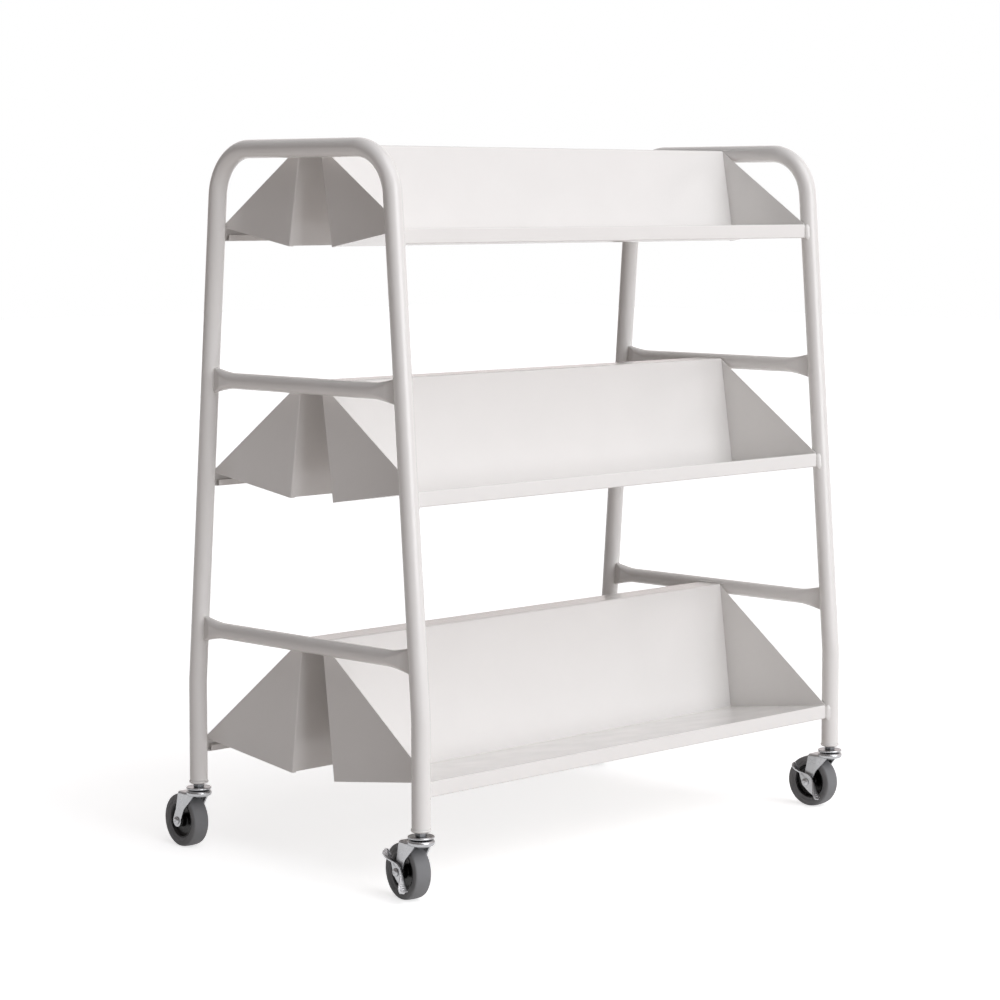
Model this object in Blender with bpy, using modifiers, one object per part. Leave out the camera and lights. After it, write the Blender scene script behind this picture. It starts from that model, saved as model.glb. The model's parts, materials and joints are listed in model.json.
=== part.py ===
"""Double-sided book trolley on swivel casters, modelled in metres with +Z up and the front at -Y.

Two bent tube end frames carry three pairs of folded steel troughs with welded end plates.
Every leg ends in a threaded insert and a stem caster, and both front casters have a brake pedal.
"""

import math

import bmesh
import bpy
from mathutils import Matrix, Vector

MM = 0.001
CLEARANCE = 0.3 * MM
CUT_MARGIN = 20.0 * MM

# End frames: bent tubes whose legs splay outwards down to a kink, and then stand upright
HOOP_X = 420.0 * MM
TUBE_RADIUS = 12.5 * MM
TUBE_WALL = 1.5 * MM
TOP_BAR_Z = 973.0 * MM
LEG_TOP_Y = 170.0 * MM
FOOT_Y = 225.0 * MM
KINK_Z = 238.0 * MM
TOP_BEND_RADIUS = 67.0 * MM
KINK_BEND_RADIUS = 150.0 * MM
TUBE_SIDES = 16
LEG_CUT_SIDES = 24
TOP_BEND_STEPS = 8
KINK_BEND_STEPS = 2

# Crossbars: round tubes whose ends are pressed flat and tall against the legs
CROSSBAR_Z = {"upper": 659.0 * MM, "lower": 313.0 * MM}
CROSSBAR_RADIUS = 11.0 * MM
CROSSBAR_WALL = 1.5 * MM
CROSSBAR_END_HEIGHT = 31.0 * MM
CROSSBAR_END_WIDTH = 14.0 * MM
CROSSBAR_FLARE_LENGTH = 34.0 * MM
CROSSBAR_SIDES = 12
CROSSBAR_FLARE_STEPS = 3

# Shelves: folded sheet troughs in pairs, hung on the top bars and the crossbars
SHEET = 1.2 * MM
FOLD_RADIUS = 2.0 * MM
FOLD_STEPS = 2
RIDGE_ABOVE_BAR = 5.0 * MM
RIDGE_HALF_WIDTH = 23.5 * MM
VALLEY_HALF_WIDTH = 42.5 * MM
TROUGH_DEPTH = {"top": 129.0 * MM, "middle": 153.0 * MM, "bottom": 181.0 * MM}
LIP_RISE = 24.5 * MM
LIP_PROUD = 3.0 * MM
LIP_HEIGHT = 20.5 * MM
LIP_RETURN = 9.0 * MM
LIP_UPTURN = 8.5 * MM
LIP_CORNER_RELIEF = 1.5 * MM
LIP_END_RELIEF = 5.5 * MM

# End plates: folded triangles that close the troughs
PLATE_FLANGE = 7.0 * MM
PLATE_INSET = 2.3 * MM

# Wheels
WHEEL_RADIUS = 37.5 * MM
TYRE_HALF_WIDTH = 12.0 * MM
TYRE_TREAD_HALF_WIDTH = 6.5 * MM
TYRE_SHOULDER = 4.5 * MM
TYRE_SHOULDER_DROP = 1.1 * MM
HUB_RADIUS = 23.0 * MM
HUB_RIM_HALF_WIDTH = 10.5 * MM
HUB_RIM_DEPTH = 3.5 * MM
HUB_WEB_HALF_WIDTH = 5.0 * MM
HUB_BOSS_RADIUS = 9.0 * MM
AXLE_RADIUS = 4.0 * MM
WHEEL_STEPS = 20

# Forks, swivels and stems
TRAIL = 30.0 * MM
FORK_SIDE_PLAY = 2.5 * MM
FORK_SHEET = 2.5 * MM
FORK_FOLD_RADIUS = 3.0 * MM
FORK_TOP_FRONT = 7.0 * MM
FORK_TOP_REAR = 27.0 * MM
FORK_FOOT_RADIUS = 9.0 * MM
FORK_FOOT_STEPS = 5
CROWN_ABOVE_WHEEL = 1.2 * MM
RACE_RADIUS = 18.0 * MM
RACE_TOP_RADIUS = 15.3 * MM
RACE_HEIGHT = 6.0 * MM
RACE_CHAMFER = 2.0 * MM
BEARING_GAP = 0.6 * MM
CAP_RADIUS = 17.0 * MM
CAP_TOP_RADIUS = 12.0 * MM
CAP_HEIGHT = 4.6 * MM
CAP_CHAMFER = 2.3 * MM
KINGPIN_RADIUS = 4.3 * MM
KINGPIN_HEAD_RADIUS = 7.0 * MM
KINGPIN_HEAD_HEIGHT = 3.5 * MM
STEM_RADIUS = 5.0 * MM
STEM_NUT_RADIUS = 8.0 * MM
STEM_NUT_HEIGHT = 4.5 * MM
STEM_LENGTH = 30.0 * MM
INSERT_LENGTH = 40.0 * MM
INSERT_RIM = 1.0 * MM
INSERT_RIM_HEIGHT = 5.0 * MM
INSERT_TAPER = 2.5 * MM
TURNED_STEPS = 12

# Axle ends
AXLE_HEAD_RADIUS = 6.5 * MM
AXLE_HEAD_FACE_RADIUS = 5.2 * MM
AXLE_HEAD_HEIGHT = 3.0 * MM
AXLE_NUT_RADIUS = 7.5 * MM
AXLE_NUT_HEIGHT = 5.0 * MM
NUT_SIDES = 6
AXLE_THREAD_SHOWN = 1.0 * MM

# Brake pedals: a leaf shaped web on the axle with a foot pad folded outwards along its upper edge
PEDAL_SHEET = 2.0 * MM
PEDAL_HALF_LENGTH = 38.0 * MM
PEDAL_HUB_HALF_WIDTH = 13.0 * MM
PEDAL_ARM_HALF_WIDTH = 2.5 * MM
PEDAL_HUMP_POWER = 5
PEDAL_PAD_DEPTH = 13.0 * MM
PEDAL_TILT = math.radians(36.0)
PEDAL_STEPS = 10

# Casters: side along X, side along Y, swivel angle from straight back, brake pedal fitted
CASTERS = {
    "front_left": (-1, -1, math.radians(-9.5), True),
    "front_right": (1, -1, math.radians(3.0), True),
    "rear_left": (-1, 1, math.radians(-4.0), False),
    "rear_right": (1, 1, 0.0, False),
}

# Heights and widths that follow from the sizes above
CROWN_BOTTOM = 2 * WHEEL_RADIUS + CROWN_ABOVE_WHEEL
CROWN_TOP = CROWN_BOTTOM + FORK_SHEET
RACE_TOP = CROWN_BOTTOM + RACE_HEIGHT
CAP_BOTTOM = RACE_TOP + BEARING_GAP
CAP_TOP = CAP_BOTTOM + CAP_HEIGHT
STEM_NUT_BOTTOM = CAP_TOP + CLEARANCE
STEM_NUT_TOP = STEM_NUT_BOTTOM + STEM_NUT_HEIGHT
INSERT_BOTTOM = STEM_NUT_TOP + CLEARANCE
TUBE_END_Z = INSERT_BOTTOM + INSERT_RIM_HEIGHT + CLEARANCE
FORK_INNER = TYRE_HALF_WIDTH + FORK_SIDE_PLAY
FORK_OUTER = FORK_INNER + FORK_SHEET
SHELF_HALF_LENGTH = HOOP_X - TUBE_RADIUS - CLEARANCE
PLATE_HALF_LENGTH = SHELF_HALF_LENGTH - PLATE_INSET
TROUGH_HALF_LENGTH = PLATE_HALF_LENGTH - SHEET - CLEARANCE
BAR_Z = {"top": TOP_BAR_Z, "middle": CROSSBAR_Z["upper"], "bottom": CROSSBAR_Z["lower"]}

ALONG_X = Matrix.Rotation(math.pi / 2, 4, "Y")
ALONG_Y = Matrix.Rotation(math.pi / 2, 4, "X")
SMOOTH_ANGLE = math.radians(35)
MERGE = 0.00001


def leg_half_depth(z):
    """Distance from the middle of the trolley to a leg's axis at height z."""
    slope = (FOOT_Y - LEG_TOP_Y) / (TOP_BAR_Z - KINK_Z)
    return FOOT_Y - max(0.0, z - KINK_Z) * slope


def make_material(name, colour, roughness, metallic):
    material = bpy.data.materials.new(name)
    material.use_nodes = True
    shader = material.node_tree.nodes["Principled BSDF"]
    shader.inputs["Base Color"].default_value = (*colour, 1.0)
    shader.inputs["Roughness"].default_value = roughness
    shader.inputs["Metallic"].default_value = metallic
    return material


def make_collection(name):
    collection = bpy.data.collections.new(name)
    bpy.context.scene.collection.children.link(collection)
    return collection


def make_empty(name, location, parent=None, turn=0.0):
    empty = bpy.data.objects.new(name, None)
    empty.location = location
    empty.rotation_euler = (0.0, 0.0, turn)
    empty.parent = parent
    parts.objects.link(empty)
    return empty


def make_part(name, mesh, material, parent):
    """Links a mesh as one named piece, shaded smooth apart from its sharp edges."""
    mesh.name = name
    mesh.materials.clear()
    mesh.materials.append(material)
    mesh.shade_smooth()
    mesh.set_sharp_from_angle(angle=SMOOTH_ANGLE)
    part = bpy.data.objects.new(name, mesh)
    part.parent = parent
    parts.objects.link(part)
    return part


def add_modifier(target, kind, **settings):
    modifier = target.modifiers.new(kind.title(), kind)
    for key, value in settings.items():
        setattr(modifier, key, value)
    return modifier


def finish_mesh(shape, name):
    mesh = bpy.data.meshes.new(name)
    shape.to_mesh(mesh)
    shape.free()
    return mesh


def bake(mesh, *modifiers):
    """The mesh as it looks with the given modifiers applied."""
    draft = bpy.data.objects.new("draft", mesh)
    bpy.context.scene.collection.objects.link(draft)
    for kind, settings in modifiers:
        add_modifier(draft, kind, **settings)
    evaluated = draft.evaluated_get(bpy.context.evaluated_depsgraph_get())
    baked = bpy.data.meshes.new_from_object(evaluated)
    bpy.data.objects.remove(draft)
    return baked


def use_tool(target, mesh, operation):
    """Joins a helper solid to a piece, or cuts it away, in the piece's own frame."""
    tool = bpy.data.objects.new(f"{target.name}_{operation.lower()}", mesh)
    tool.parent = target.parent
    tool.hide_render = True
    tool.display_type = "WIRE"
    cutters.objects.link(tool)
    add_modifier(target, "BOOLEAN", operation=operation, object=tool, solver="EXACT")


def cylinder(radius, length, sides, matrix):
    shape = bmesh.new()
    bmesh.ops.create_cone(shape, cap_ends=True, segments=sides, radius1=radius, radius2=radius,
                          depth=length, matrix=matrix)
    return finish_mesh(shape, "cylinder")


def solidify(thickness):
    return "SOLIDIFY", dict(thickness=thickness, offset=-1.0, use_even_offset=True, use_quality_normals=True)


def turned(profile, steps, matrix, closed=True):
    """A solid of revolution about Z from (radius, height) points, set in place by the matrix."""
    shape = bmesh.new()
    points = [shape.verts.new((radius, 0.0, height)) for radius, height in profile]
    for start, end in zip(points, points[1:]):
        shape.edges.new((start, end))
    if closed:
        shape.edges.new((points[-1], points[0]))
    screw = dict(axis="Z", angle=2 * math.pi, steps=steps, render_steps=steps,
                 use_merge_vertices=True, merge_threshold=MERGE)
    mesh = bake(finish_mesh(shape, "profile"), ("SCREW", screw))
    mesh.transform(matrix)
    return mesh


def rounded_path(corners, radii, steps):
    """Points along straight runs whose inner corners are arcs of the given radii."""
    points = [corners[0]]
    for before, corner, after, radius, count in zip(corners, corners[1:], corners[2:], radii, steps):
        way_in = (corner - before).normalized()
        way_out = (after - corner).normalized()
        turn = way_in.angle(way_out)
        centre = corner + (way_out - way_in).normalized() * radius / math.cos(turn / 2)
        start = corner - way_in * radius * math.tan(turn / 2) - centre
        axis = way_in.cross(way_out)
        for step in range(count + 1):
            points.append(centre + Matrix.Rotation(turn * step / count, 3, axis) @ start)
    points.append(corners[-1])
    return points


def tube_skin(points, radius, sides):
    """An open tube wall along the points."""
    curve = bpy.data.curves.new("tube", "CURVE")
    curve.dimensions = "3D"
    curve.bevel_depth = radius
    curve.bevel_resolution = (sides - 4) // 2
    spline = curve.splines.new("POLY")
    spline.points.add(len(points) - 1)
    for point, place in zip(spline.points, points):
        point.co = (*place, 1.0)
    mesh = bake(curve)
    bpy.data.curves.remove(curve)
    return mesh


def extruded_strip(rows):
    """A strip of sheet through rows of points, made by extruding the first row's edges from row to row."""
    shape = bmesh.new()
    verts = [shape.verts.new(point) for point in rows[0]]
    for vert, neighbour in zip(verts, verts[1:]):
        shape.edges.new((vert, neighbour))
    for row in rows[1:]:
        edges = [shape.edges.get(pair) for pair in zip(verts, verts[1:])]
        made = set(bmesh.ops.extrude_edge_only(shape, edges=edges)["geom"])
        links = [[edge.other_vert(vert) for edge in vert.link_edges] for vert in verts]
        verts = [next(vert for vert in linked if vert in made) for linked in links]
        for vert, place in zip(verts, row):
            vert.co = place
    return shape


def folded_plate(outline, flange, reach, outward, thickness):
    """A flat plate with a flange folded from the outline's edges between two of its points."""
    shape = bmesh.new()
    verts = [shape.verts.new(point) for point in outline]
    face = bmesh.ops.contextual_create(shape, geom=verts)["faces"][0]
    face.normal_update()
    if face.normal.dot(outward) < 0:
        bmesh.ops.reverse_faces(shape, faces=[face])
    first, last = flange
    run = verts[first:last + 1]
    edges = [shape.edges.get(pair) for pair in zip(run, run[1:])]
    made = bmesh.ops.extrude_edge_only(shape, edges=edges)["geom"]
    ends = [item for item in made if isinstance(item, bmesh.types.BMVert)]
    bmesh.ops.translate(shape, verts=ends, vec=reach)
    return bake(finish_mesh(shape, "plate"), solidify(thickness))


def build_hoop(name, x):
    top = leg_half_depth(TOP_BAR_Z)
    half = [Vector((x, -FOOT_Y, TUBE_END_Z)), Vector((x, -FOOT_Y, KINK_Z)), Vector((x, -top, TOP_BAR_Z))]
    other_half = [Vector((x, -point.y, point.z)) for point in reversed(half)]
    radii = (KINK_BEND_RADIUS, TOP_BEND_RADIUS, TOP_BEND_RADIUS, KINK_BEND_RADIUS)
    steps = (KINK_BEND_STEPS, TOP_BEND_STEPS, TOP_BEND_STEPS, KINK_BEND_STEPS)
    path = rounded_path(half + other_half, radii, steps)
    skin = tube_skin(path, TUBE_RADIUS, TUBE_SIDES)
    make_part(name, bake(skin, solidify(TUBE_WALL)), paint, root)


def build_crossbar(name, x, z):
    """A tube from leg to leg, pressed flat at both ends and cut to sit on the legs."""
    reach = leg_half_depth(z)
    flare_start = reach - TUBE_RADIUS
    shape = bmesh.new()
    bmesh.ops.create_cone(shape, cap_ends=False, segments=CROSSBAR_SIDES, radius1=CROSSBAR_RADIUS,
                          radius2=CROSSBAR_RADIUS, depth=2 * reach, matrix=ALONG_Y)
    for step in range(CROSSBAR_FLARE_STEPS + 1):
        station = flare_start - CROSSBAR_FLARE_LENGTH * step / CROSSBAR_FLARE_STEPS
        for side in (-1, 1):
            everything = shape.verts[:] + shape.edges[:] + shape.faces[:]
            bmesh.ops.bisect_plane(shape, geom=everything, dist=MERGE,
                                   plane_co=(0, side * station, 0), plane_no=(0, 1, 0))
    end_width = CROSSBAR_END_WIDTH / (2 * CROSSBAR_RADIUS) - 1
    end_height = CROSSBAR_END_HEIGHT / (2 * CROSSBAR_RADIUS) - 1
    for vert in shape.verts:
        along = 1 - (flare_start - abs(vert.co.y)) / CROSSBAR_FLARE_LENGTH
        along = min(max(along, 0.0), 1.0)
        eased = along * along * (3 - 2 * along)
        vert.co.x *= 1 + end_width * eased
        vert.co.z *= 1 + end_height * eased
    mesh = bake(finish_mesh(shape, name), solidify(CROSSBAR_WALL))
    mesh.transform(Matrix.Translation((x, 0, z)))
    bar = make_part(name, mesh, paint, root)
    splay = math.atan2(FOOT_Y - LEG_TOP_Y, TOP_BAR_Z - KINK_Z)
    for side in (-1, 1):
        place = Matrix.Translation((x, side * reach, z)) @ Matrix.Rotation(side * splay, 4, "X")
        leg = cylinder(TUBE_RADIUS + CLEARANCE, CROSSBAR_END_HEIGHT + 2 * CUT_MARGIN, LEG_CUT_SIDES, place)
        use_tool(bar, leg, "DIFFERENCE")


def shelf_section(level):
    """Heights and half depths of one trough: its ridge, valley and lip."""
    ridge_z = BAR_Z[level] + RIDGE_ABOVE_BAR
    valley_z = BAR_Z[level] - TROUGH_DEPTH[level]
    lip_z = valley_z + LIP_RISE
    lip_y = leg_half_depth(lip_z - LIP_HEIGHT / 2) + LIP_PROUD
    return ridge_z, valley_z, lip_z, lip_y


def build_trough(name, level, side):
    """Top flange, back panel, floor and lip of one trough, folded from a single sheet."""
    ridge_z, valley_z, lip_z, lip_y = shelf_section(level)
    lip_bottom = lip_z - LIP_HEIGHT
    notch_z = lip_z - FOLD_RADIUS - CLEARANCE
    inner_y = lip_y - LIP_RETURN
    sheet_end = TROUGH_HALF_LENGTH
    lip_end = SHELF_HALF_LENGTH
    return_end = SHELF_HALF_LENGTH - LIP_END_RELIEF
    section = [
        (CLEARANCE / 2, ridge_z, sheet_end),
        (RIDGE_HALF_WIDTH, ridge_z, sheet_end),
        (VALLEY_HALF_WIDTH, valley_z, sheet_end),
        (lip_y, lip_z, sheet_end),
        (lip_y, notch_z, sheet_end),
        (lip_y, notch_z - LIP_CORNER_RELIEF, lip_end),
        (lip_y, lip_bottom, lip_end),
        (inner_y, lip_bottom, return_end),
        (inner_y, lip_bottom + LIP_UPTURN, return_end),
    ]
    rows = [[(end * half, side * y, z) for y, z, half in section] for end in (-1, 1)]
    shape = extruded_strip(rows)
    shape.normal_update()
    top = max(shape.faces, key=lambda face: face.calc_center_median().z)
    if top.normal.z < 0:
        bmesh.ops.reverse_faces(shape, faces=shape.faces[:])
    folds = dict(width=FOLD_RADIUS, segments=FOLD_STEPS, limit_method="ANGLE", angle_limit=SMOOTH_ANGLE)
    mesh = bake(finish_mesh(shape, name), ("BEVEL", folds), solidify(SHEET))
    make_part(name, mesh, paint, root)


def meet(point, way, other_point, other_way):
    """Where two lines in the plane of a trough's section cross."""
    gap = other_point - point
    share = gap.cross(other_way) / way.cross(other_way)
    return point + way * share


def build_end_plate(name, level, side, end):
    """A triangle that covers a trough's end, with a flange on the hidden face of its back panel."""
    ridge_z, valley_z, lip_z, lip_y = shelf_section(level)
    ridge = Vector((RIDGE_HALF_WIDTH, ridge_z))
    valley = Vector((VALLEY_HALF_WIDTH, valley_z))
    lip = Vector((lip_y, lip_z))
    down = (valley - ridge).normalized()
    out = (lip - valley).normalized()
    behind = Vector((down.y, -down.x))
    below = Vector((out.y, -out.x))
    flange_point = ridge + behind * (2 * SHEET + CLEARANCE)
    floor_point = valley + below * SHEET
    level_way = Vector((1.0, 0.0))
    upright = Vector((0.0, 1.0))
    apex_point = Vector((0.0, ridge_z - FOLD_RADIUS - CLEARANCE))
    tip_point = Vector((lip_y - SHEET - CLEARANCE, 0.0))
    corners = [
        meet(apex_point, level_way, flange_point, down),
        meet(floor_point, out, flange_point, down),
        meet(tip_point, upright, floor_point, out),
        Vector((tip_point.x, lip_z)),
        meet(apex_point, level_way, ridge, down),
    ]
    x = end * PLATE_HALF_LENGTH
    outline = [(x, side * corner.x, corner.y) for corner in corners]
    mesh = folded_plate(outline, (0, 1), (-end * PLATE_FLANGE, 0, 0), Vector((end, 0, 0)), SHEET)
    make_part(name, mesh, paint, root)


def build_insert(name, corner):
    """The threaded plug in a leg's foot, with a rim that covers the tube's end."""
    bore = STEM_RADIUS + CLEARANCE
    plug = (TUBE_RADIUS - TUBE_WALL) * math.cos(math.pi / TUBE_SIDES) - CLEARANCE
    rim = TUBE_RADIUS + INSERT_RIM
    rim_top = INSERT_BOTTOM + INSERT_RIM_HEIGHT
    profile = [
        (bore, INSERT_BOTTOM + INSERT_LENGTH),
        (plug, INSERT_BOTTOM + INSERT_LENGTH),
        (plug, rim_top),
        (rim, rim_top),
        (rim, INSERT_BOTTOM + INSERT_TAPER),
        (STEM_NUT_RADIUS, INSERT_BOTTOM),
        (bore, INSERT_BOTTOM),
    ]
    make_part(name, turned(profile, TURNED_STEPS, Matrix()), insert_steel, corner)


def build_stem(name, corner):
    """Thread, nut, pin and riveted head in one turned piece that the fork swivels on."""
    head_top = CROWN_BOTTOM - CLEARANCE
    profile = [
        (0.0, STEM_NUT_TOP + STEM_LENGTH),
        (STEM_RADIUS, STEM_NUT_TOP + STEM_LENGTH),
        (STEM_RADIUS, STEM_NUT_TOP),
        (STEM_NUT_RADIUS, STEM_NUT_TOP),
        (STEM_NUT_RADIUS, STEM_NUT_BOTTOM),
        (STEM_RADIUS, STEM_NUT_BOTTOM),
        (STEM_RADIUS, CAP_BOTTOM),
        (KINGPIN_RADIUS, CAP_BOTTOM),
        (KINGPIN_RADIUS, head_top),
        (KINGPIN_HEAD_RADIUS, head_top),
        (KINGPIN_HEAD_RADIUS, head_top - KINGPIN_HEAD_HEIGHT),
        (0.0, head_top - KINGPIN_HEAD_HEIGHT),
    ]
    make_part(name, turned(profile, TURNED_STEPS, Matrix(), closed=False), zinc, corner)


def build_cap(name, corner):
    """The fixed upper cup of the swivel bearing."""
    bore = STEM_RADIUS + CLEARANCE
    profile = [
        (bore, CAP_TOP),
        (CAP_TOP_RADIUS, CAP_TOP),
        (CAP_RADIUS, CAP_TOP - CAP_CHAMFER),
        (CAP_RADIUS, CAP_BOTTOM),
        (bore, CAP_BOTTOM),
    ]
    make_part(name, turned(profile, TURNED_STEPS, Matrix()), zinc, corner)


def build_fork(name, swivel):
    """A folded strip from axle to axle over the wheel, with the lower bearing race on its crown."""
    rows = []
    for step in range(FORK_FOOT_STEPS):
        angle = -math.pi / 2 * (1 - (step + 0.5) / FORK_FOOT_STEPS)
        half = FORK_FOOT_RADIUS * math.cos(angle)
        rows.append((TRAIL - half, TRAIL + half, WHEEL_RADIUS + FORK_FOOT_RADIUS * math.sin(angle)))
    rows.append((TRAIL - FORK_FOOT_RADIUS, TRAIL + FORK_FOOT_RADIUS, WHEEL_RADIUS))
    rows.append((-FORK_TOP_FRONT, FORK_TOP_REAR, CROWN_TOP))
    leg = [[(-FORK_OUTER, y, z) for y in (front, rear)] for front, rear, z in rows]
    other_leg = [[(-x, y, z) for x, y, z in row] for row in reversed(leg)]
    shape = extruded_strip(leg + other_leg)
    shape.normal_update()
    crown = max(shape.faces, key=lambda face: face.calc_center_median().z)
    if crown.normal.z < 0:
        bmesh.ops.reverse_faces(shape, faces=shape.faces[:])
    folds = dict(width=FORK_FOLD_RADIUS, segments=FOLD_STEPS, limit_method="ANGLE", angle_limit=SMOOTH_ANGLE)
    mesh = bake(finish_mesh(shape, name), ("BEVEL", folds), solidify(FORK_SHEET))
    fork = make_part(name, mesh, zinc, swivel)
    sunk = CROWN_TOP - FORK_SHEET / 2
    race = [
        (0.0, RACE_TOP),
        (RACE_TOP_RADIUS, RACE_TOP),
        (RACE_RADIUS, RACE_TOP - RACE_CHAMFER),
        (RACE_RADIUS, sunk),
        (0.0, sunk),
    ]
    use_tool(fork, turned(race, TURNED_STEPS, Matrix(), closed=False), "UNION")
    pin_length = 2 * (RACE_HEIGHT + CUT_MARGIN)
    pin_place = Matrix.Translation((0, 0, CROWN_TOP))
    pin_hole = cylinder(KINGPIN_RADIUS + CLEARANCE, pin_length, TURNED_STEPS, pin_place)
    use_tool(fork, pin_hole, "DIFFERENCE")
    axle_place = Matrix.Translation((0, TRAIL, WHEEL_RADIUS)) @ ALONG_X
    axle_hole = cylinder(AXLE_RADIUS + CLEARANCE, 2 * (FORK_OUTER + CUT_MARGIN), TURNED_STEPS, axle_place)
    use_tool(fork, axle_hole, "DIFFERENCE")


def build_axle(name, axle, head_at):
    """The axle bolt, with its head on the -X side."""
    thread_end = FORK_OUTER + CLEARANCE + AXLE_NUT_HEIGHT + AXLE_THREAD_SHOWN
    profile = [
        (0.0, thread_end),
        (AXLE_RADIUS, thread_end),
        (AXLE_RADIUS, -head_at),
        (AXLE_HEAD_RADIUS, -head_at),
        (AXLE_HEAD_FACE_RADIUS, -head_at - AXLE_HEAD_HEIGHT),
        (0.0, -head_at - AXLE_HEAD_HEIGHT),
    ]
    make_part(name, turned(profile, TURNED_STEPS, ALONG_X, closed=False), zinc, axle)


def build_axle_nut(name, axle):
    place = ALONG_X @ Matrix.Translation((0, 0, FORK_OUTER + CLEARANCE + AXLE_NUT_HEIGHT / 2))
    nut = make_part(name, cylinder(AXLE_NUT_RADIUS, AXLE_NUT_HEIGHT, NUT_SIDES, place), zinc, axle)
    bore = cylinder(AXLE_RADIUS + CLEARANCE, AXLE_NUT_HEIGHT + 2 * CUT_MARGIN, TURNED_STEPS, place)
    use_tool(nut, bore, "DIFFERENCE")


def wheel_turned(profile):
    """A wheel piece about the axle, with its facets turned so that one lies flat on the floor."""
    half_step = math.pi / WHEEL_STEPS
    grown = [(radius / math.cos(half_step), along) for radius, along in profile]
    return turned(grown, WHEEL_STEPS, ALONG_X @ Matrix.Rotation(half_step, 4, "Z"))


def mirrored(profile):
    """A profile's outer side from one face of the wheel to the other, from its first half."""
    return profile + [(radius, -along) for radius, along in reversed(profile)]


def build_hub(name, axle):
    boss = FORK_INNER - CLEARANCE
    half = [
        (AXLE_RADIUS + CLEARANCE, boss),
        (HUB_BOSS_RADIUS, boss),
        (HUB_BOSS_RADIUS, HUB_WEB_HALF_WIDTH),
        (HUB_RADIUS - HUB_RIM_DEPTH, HUB_WEB_HALF_WIDTH),
        (HUB_RADIUS - HUB_RIM_DEPTH, HUB_RIM_HALF_WIDTH),
        (HUB_RADIUS, HUB_RIM_HALF_WIDTH),
    ]
    make_part(name, wheel_turned(mirrored(half)), nylon, axle)


def build_tyre(name, axle):
    half = [
        (HUB_RADIUS + CLEARANCE, TYRE_HALF_WIDTH),
        (WHEEL_RADIUS - TYRE_SHOULDER, TYRE_HALF_WIDTH),
        (WHEEL_RADIUS - TYRE_SHOULDER_DROP, (TYRE_HALF_WIDTH + TYRE_TREAD_HALF_WIDTH) / 2),
        (WHEEL_RADIUS, TYRE_TREAD_HALF_WIDTH),
    ]
    make_part(name, wheel_turned(mirrored(half)), rubber, axle)


def build_pedal(name, axle):
    """A leaf shaped lever on the axle outside the fork, with its foot pad along the upper edge."""
    outer = FORK_OUTER + CLEARANCE + PEDAL_SHEET
    turn = Matrix.Rotation(PEDAL_TILT, 2)
    edge = []
    for step in range(PEDAL_STEPS + 1):
        along = 1 - 2 * step / PEDAL_STEPS
        hump = (1 - along * along) ** PEDAL_HUMP_POWER
        wide = PEDAL_ARM_HALF_WIDTH + (PEDAL_HUB_HALF_WIDTH - PEDAL_ARM_HALF_WIDTH) * hump
        edge.append(Vector((along * PEDAL_HALF_LENGTH, wide)))
    leaf = [turn @ point for point in edge + [-point for point in edge]]
    outline = [(-outer, point.x, point.y) for point in leaf]
    pad = (-PEDAL_PAD_DEPTH, 0, 0)
    mesh = folded_plate(outline, (0, PEDAL_STEPS), pad, Vector((-1, 0, 0)), PEDAL_SHEET)
    pedal = make_part(name, mesh, zinc, axle)
    bore = cylinder(AXLE_RADIUS + CLEARANCE, 2 * (outer + CUT_MARGIN), TURNED_STEPS, ALONG_X)
    use_tool(pedal, bore, "DIFFERENCE")


def build_frames():
    for end_name, end in (("left", -1), ("right", 1)):
        build_hoop(f"{end_name}_hoop", end * HOOP_X)
        for place, z in CROSSBAR_Z.items():
            build_crossbar(f"{end_name}_{place}_crossbar", end * HOOP_X, z)


def build_shelves():
    for level in BAR_Z:
        for side_name, side in (("front", -1), ("rear", 1)):
            build_trough(f"{level}_{side_name}_trough", level, side)
            for end_name, end in (("left", -1), ("right", 1)):
                build_end_plate(f"{level}_{side_name}_{end_name}_end_plate", level, side, end)


def build_casters():
    for name, (end, side, turn, braked) in CASTERS.items():
        corner = make_empty(f"{name}_corner", (end * HOOP_X, side * FOOT_Y, 0), root)
        build_insert(f"{name}_leg_insert", corner)
        build_stem(f"{name}_stem", corner)
        build_cap(f"{name}_swivel_cap", corner)
        swivel = make_empty(f"{name}_swivel_axis", (0, 0, 0), corner, turn)
        build_fork(f"{name}_fork", swivel)
        axle = make_empty(f"{name}_axle_axis", (0, TRAIL, WHEEL_RADIUS), swivel)
        pedal_room = PEDAL_SHEET + CLEARANCE if braked else 0.0
        build_axle(f"{name}_axle", axle, FORK_OUTER + CLEARANCE + pedal_room)
        build_axle_nut(f"{name}_axle_nut", axle)
        build_hub(f"{name}_hub", axle)
        build_tyre(f"{name}_tyre", axle)
        if braked:
            build_pedal(f"{name}_brake_pedal", axle)


def centre_on_floor():
    """Moves the root so that the origin is in the middle of the whole trolley's base."""
    graph = bpy.context.evaluated_depsgraph_get()
    corners = []
    for part in parts.objects:
        if part.type == "MESH":
            solid = part.evaluated_get(graph)
            corners += [solid.matrix_world @ vert.co for vert in solid.data.vertices]
    for axis in (0, 1):
        places = [corner[axis] for corner in corners]
        root.location[axis] -= (min(places) + max(places)) / 2


for leftover in list(bpy.data.objects):
    bpy.data.objects.remove(leftover, do_unlink=True)

parts = make_collection("book_trolley")
cutters = make_collection("book_trolley_cutters")
paint = make_material("white_powder_coat", (0.82, 0.81, 0.80), 0.45, 0.0)
zinc = make_material("zinc_plated_steel", (0.62, 0.62, 0.61), 0.35, 1.0)
insert_steel = make_material("painted_insert", (0.80, 0.79, 0.78), 0.45, 0.0)
nylon = make_material("black_nylon", (0.012, 0.012, 0.012), 0.45, 0.0)
rubber = make_material("grey_rubber", (0.11, 0.11, 0.11), 0.7, 0.0)
root = make_empty("trolley_root", (0, 0, 0))

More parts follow.
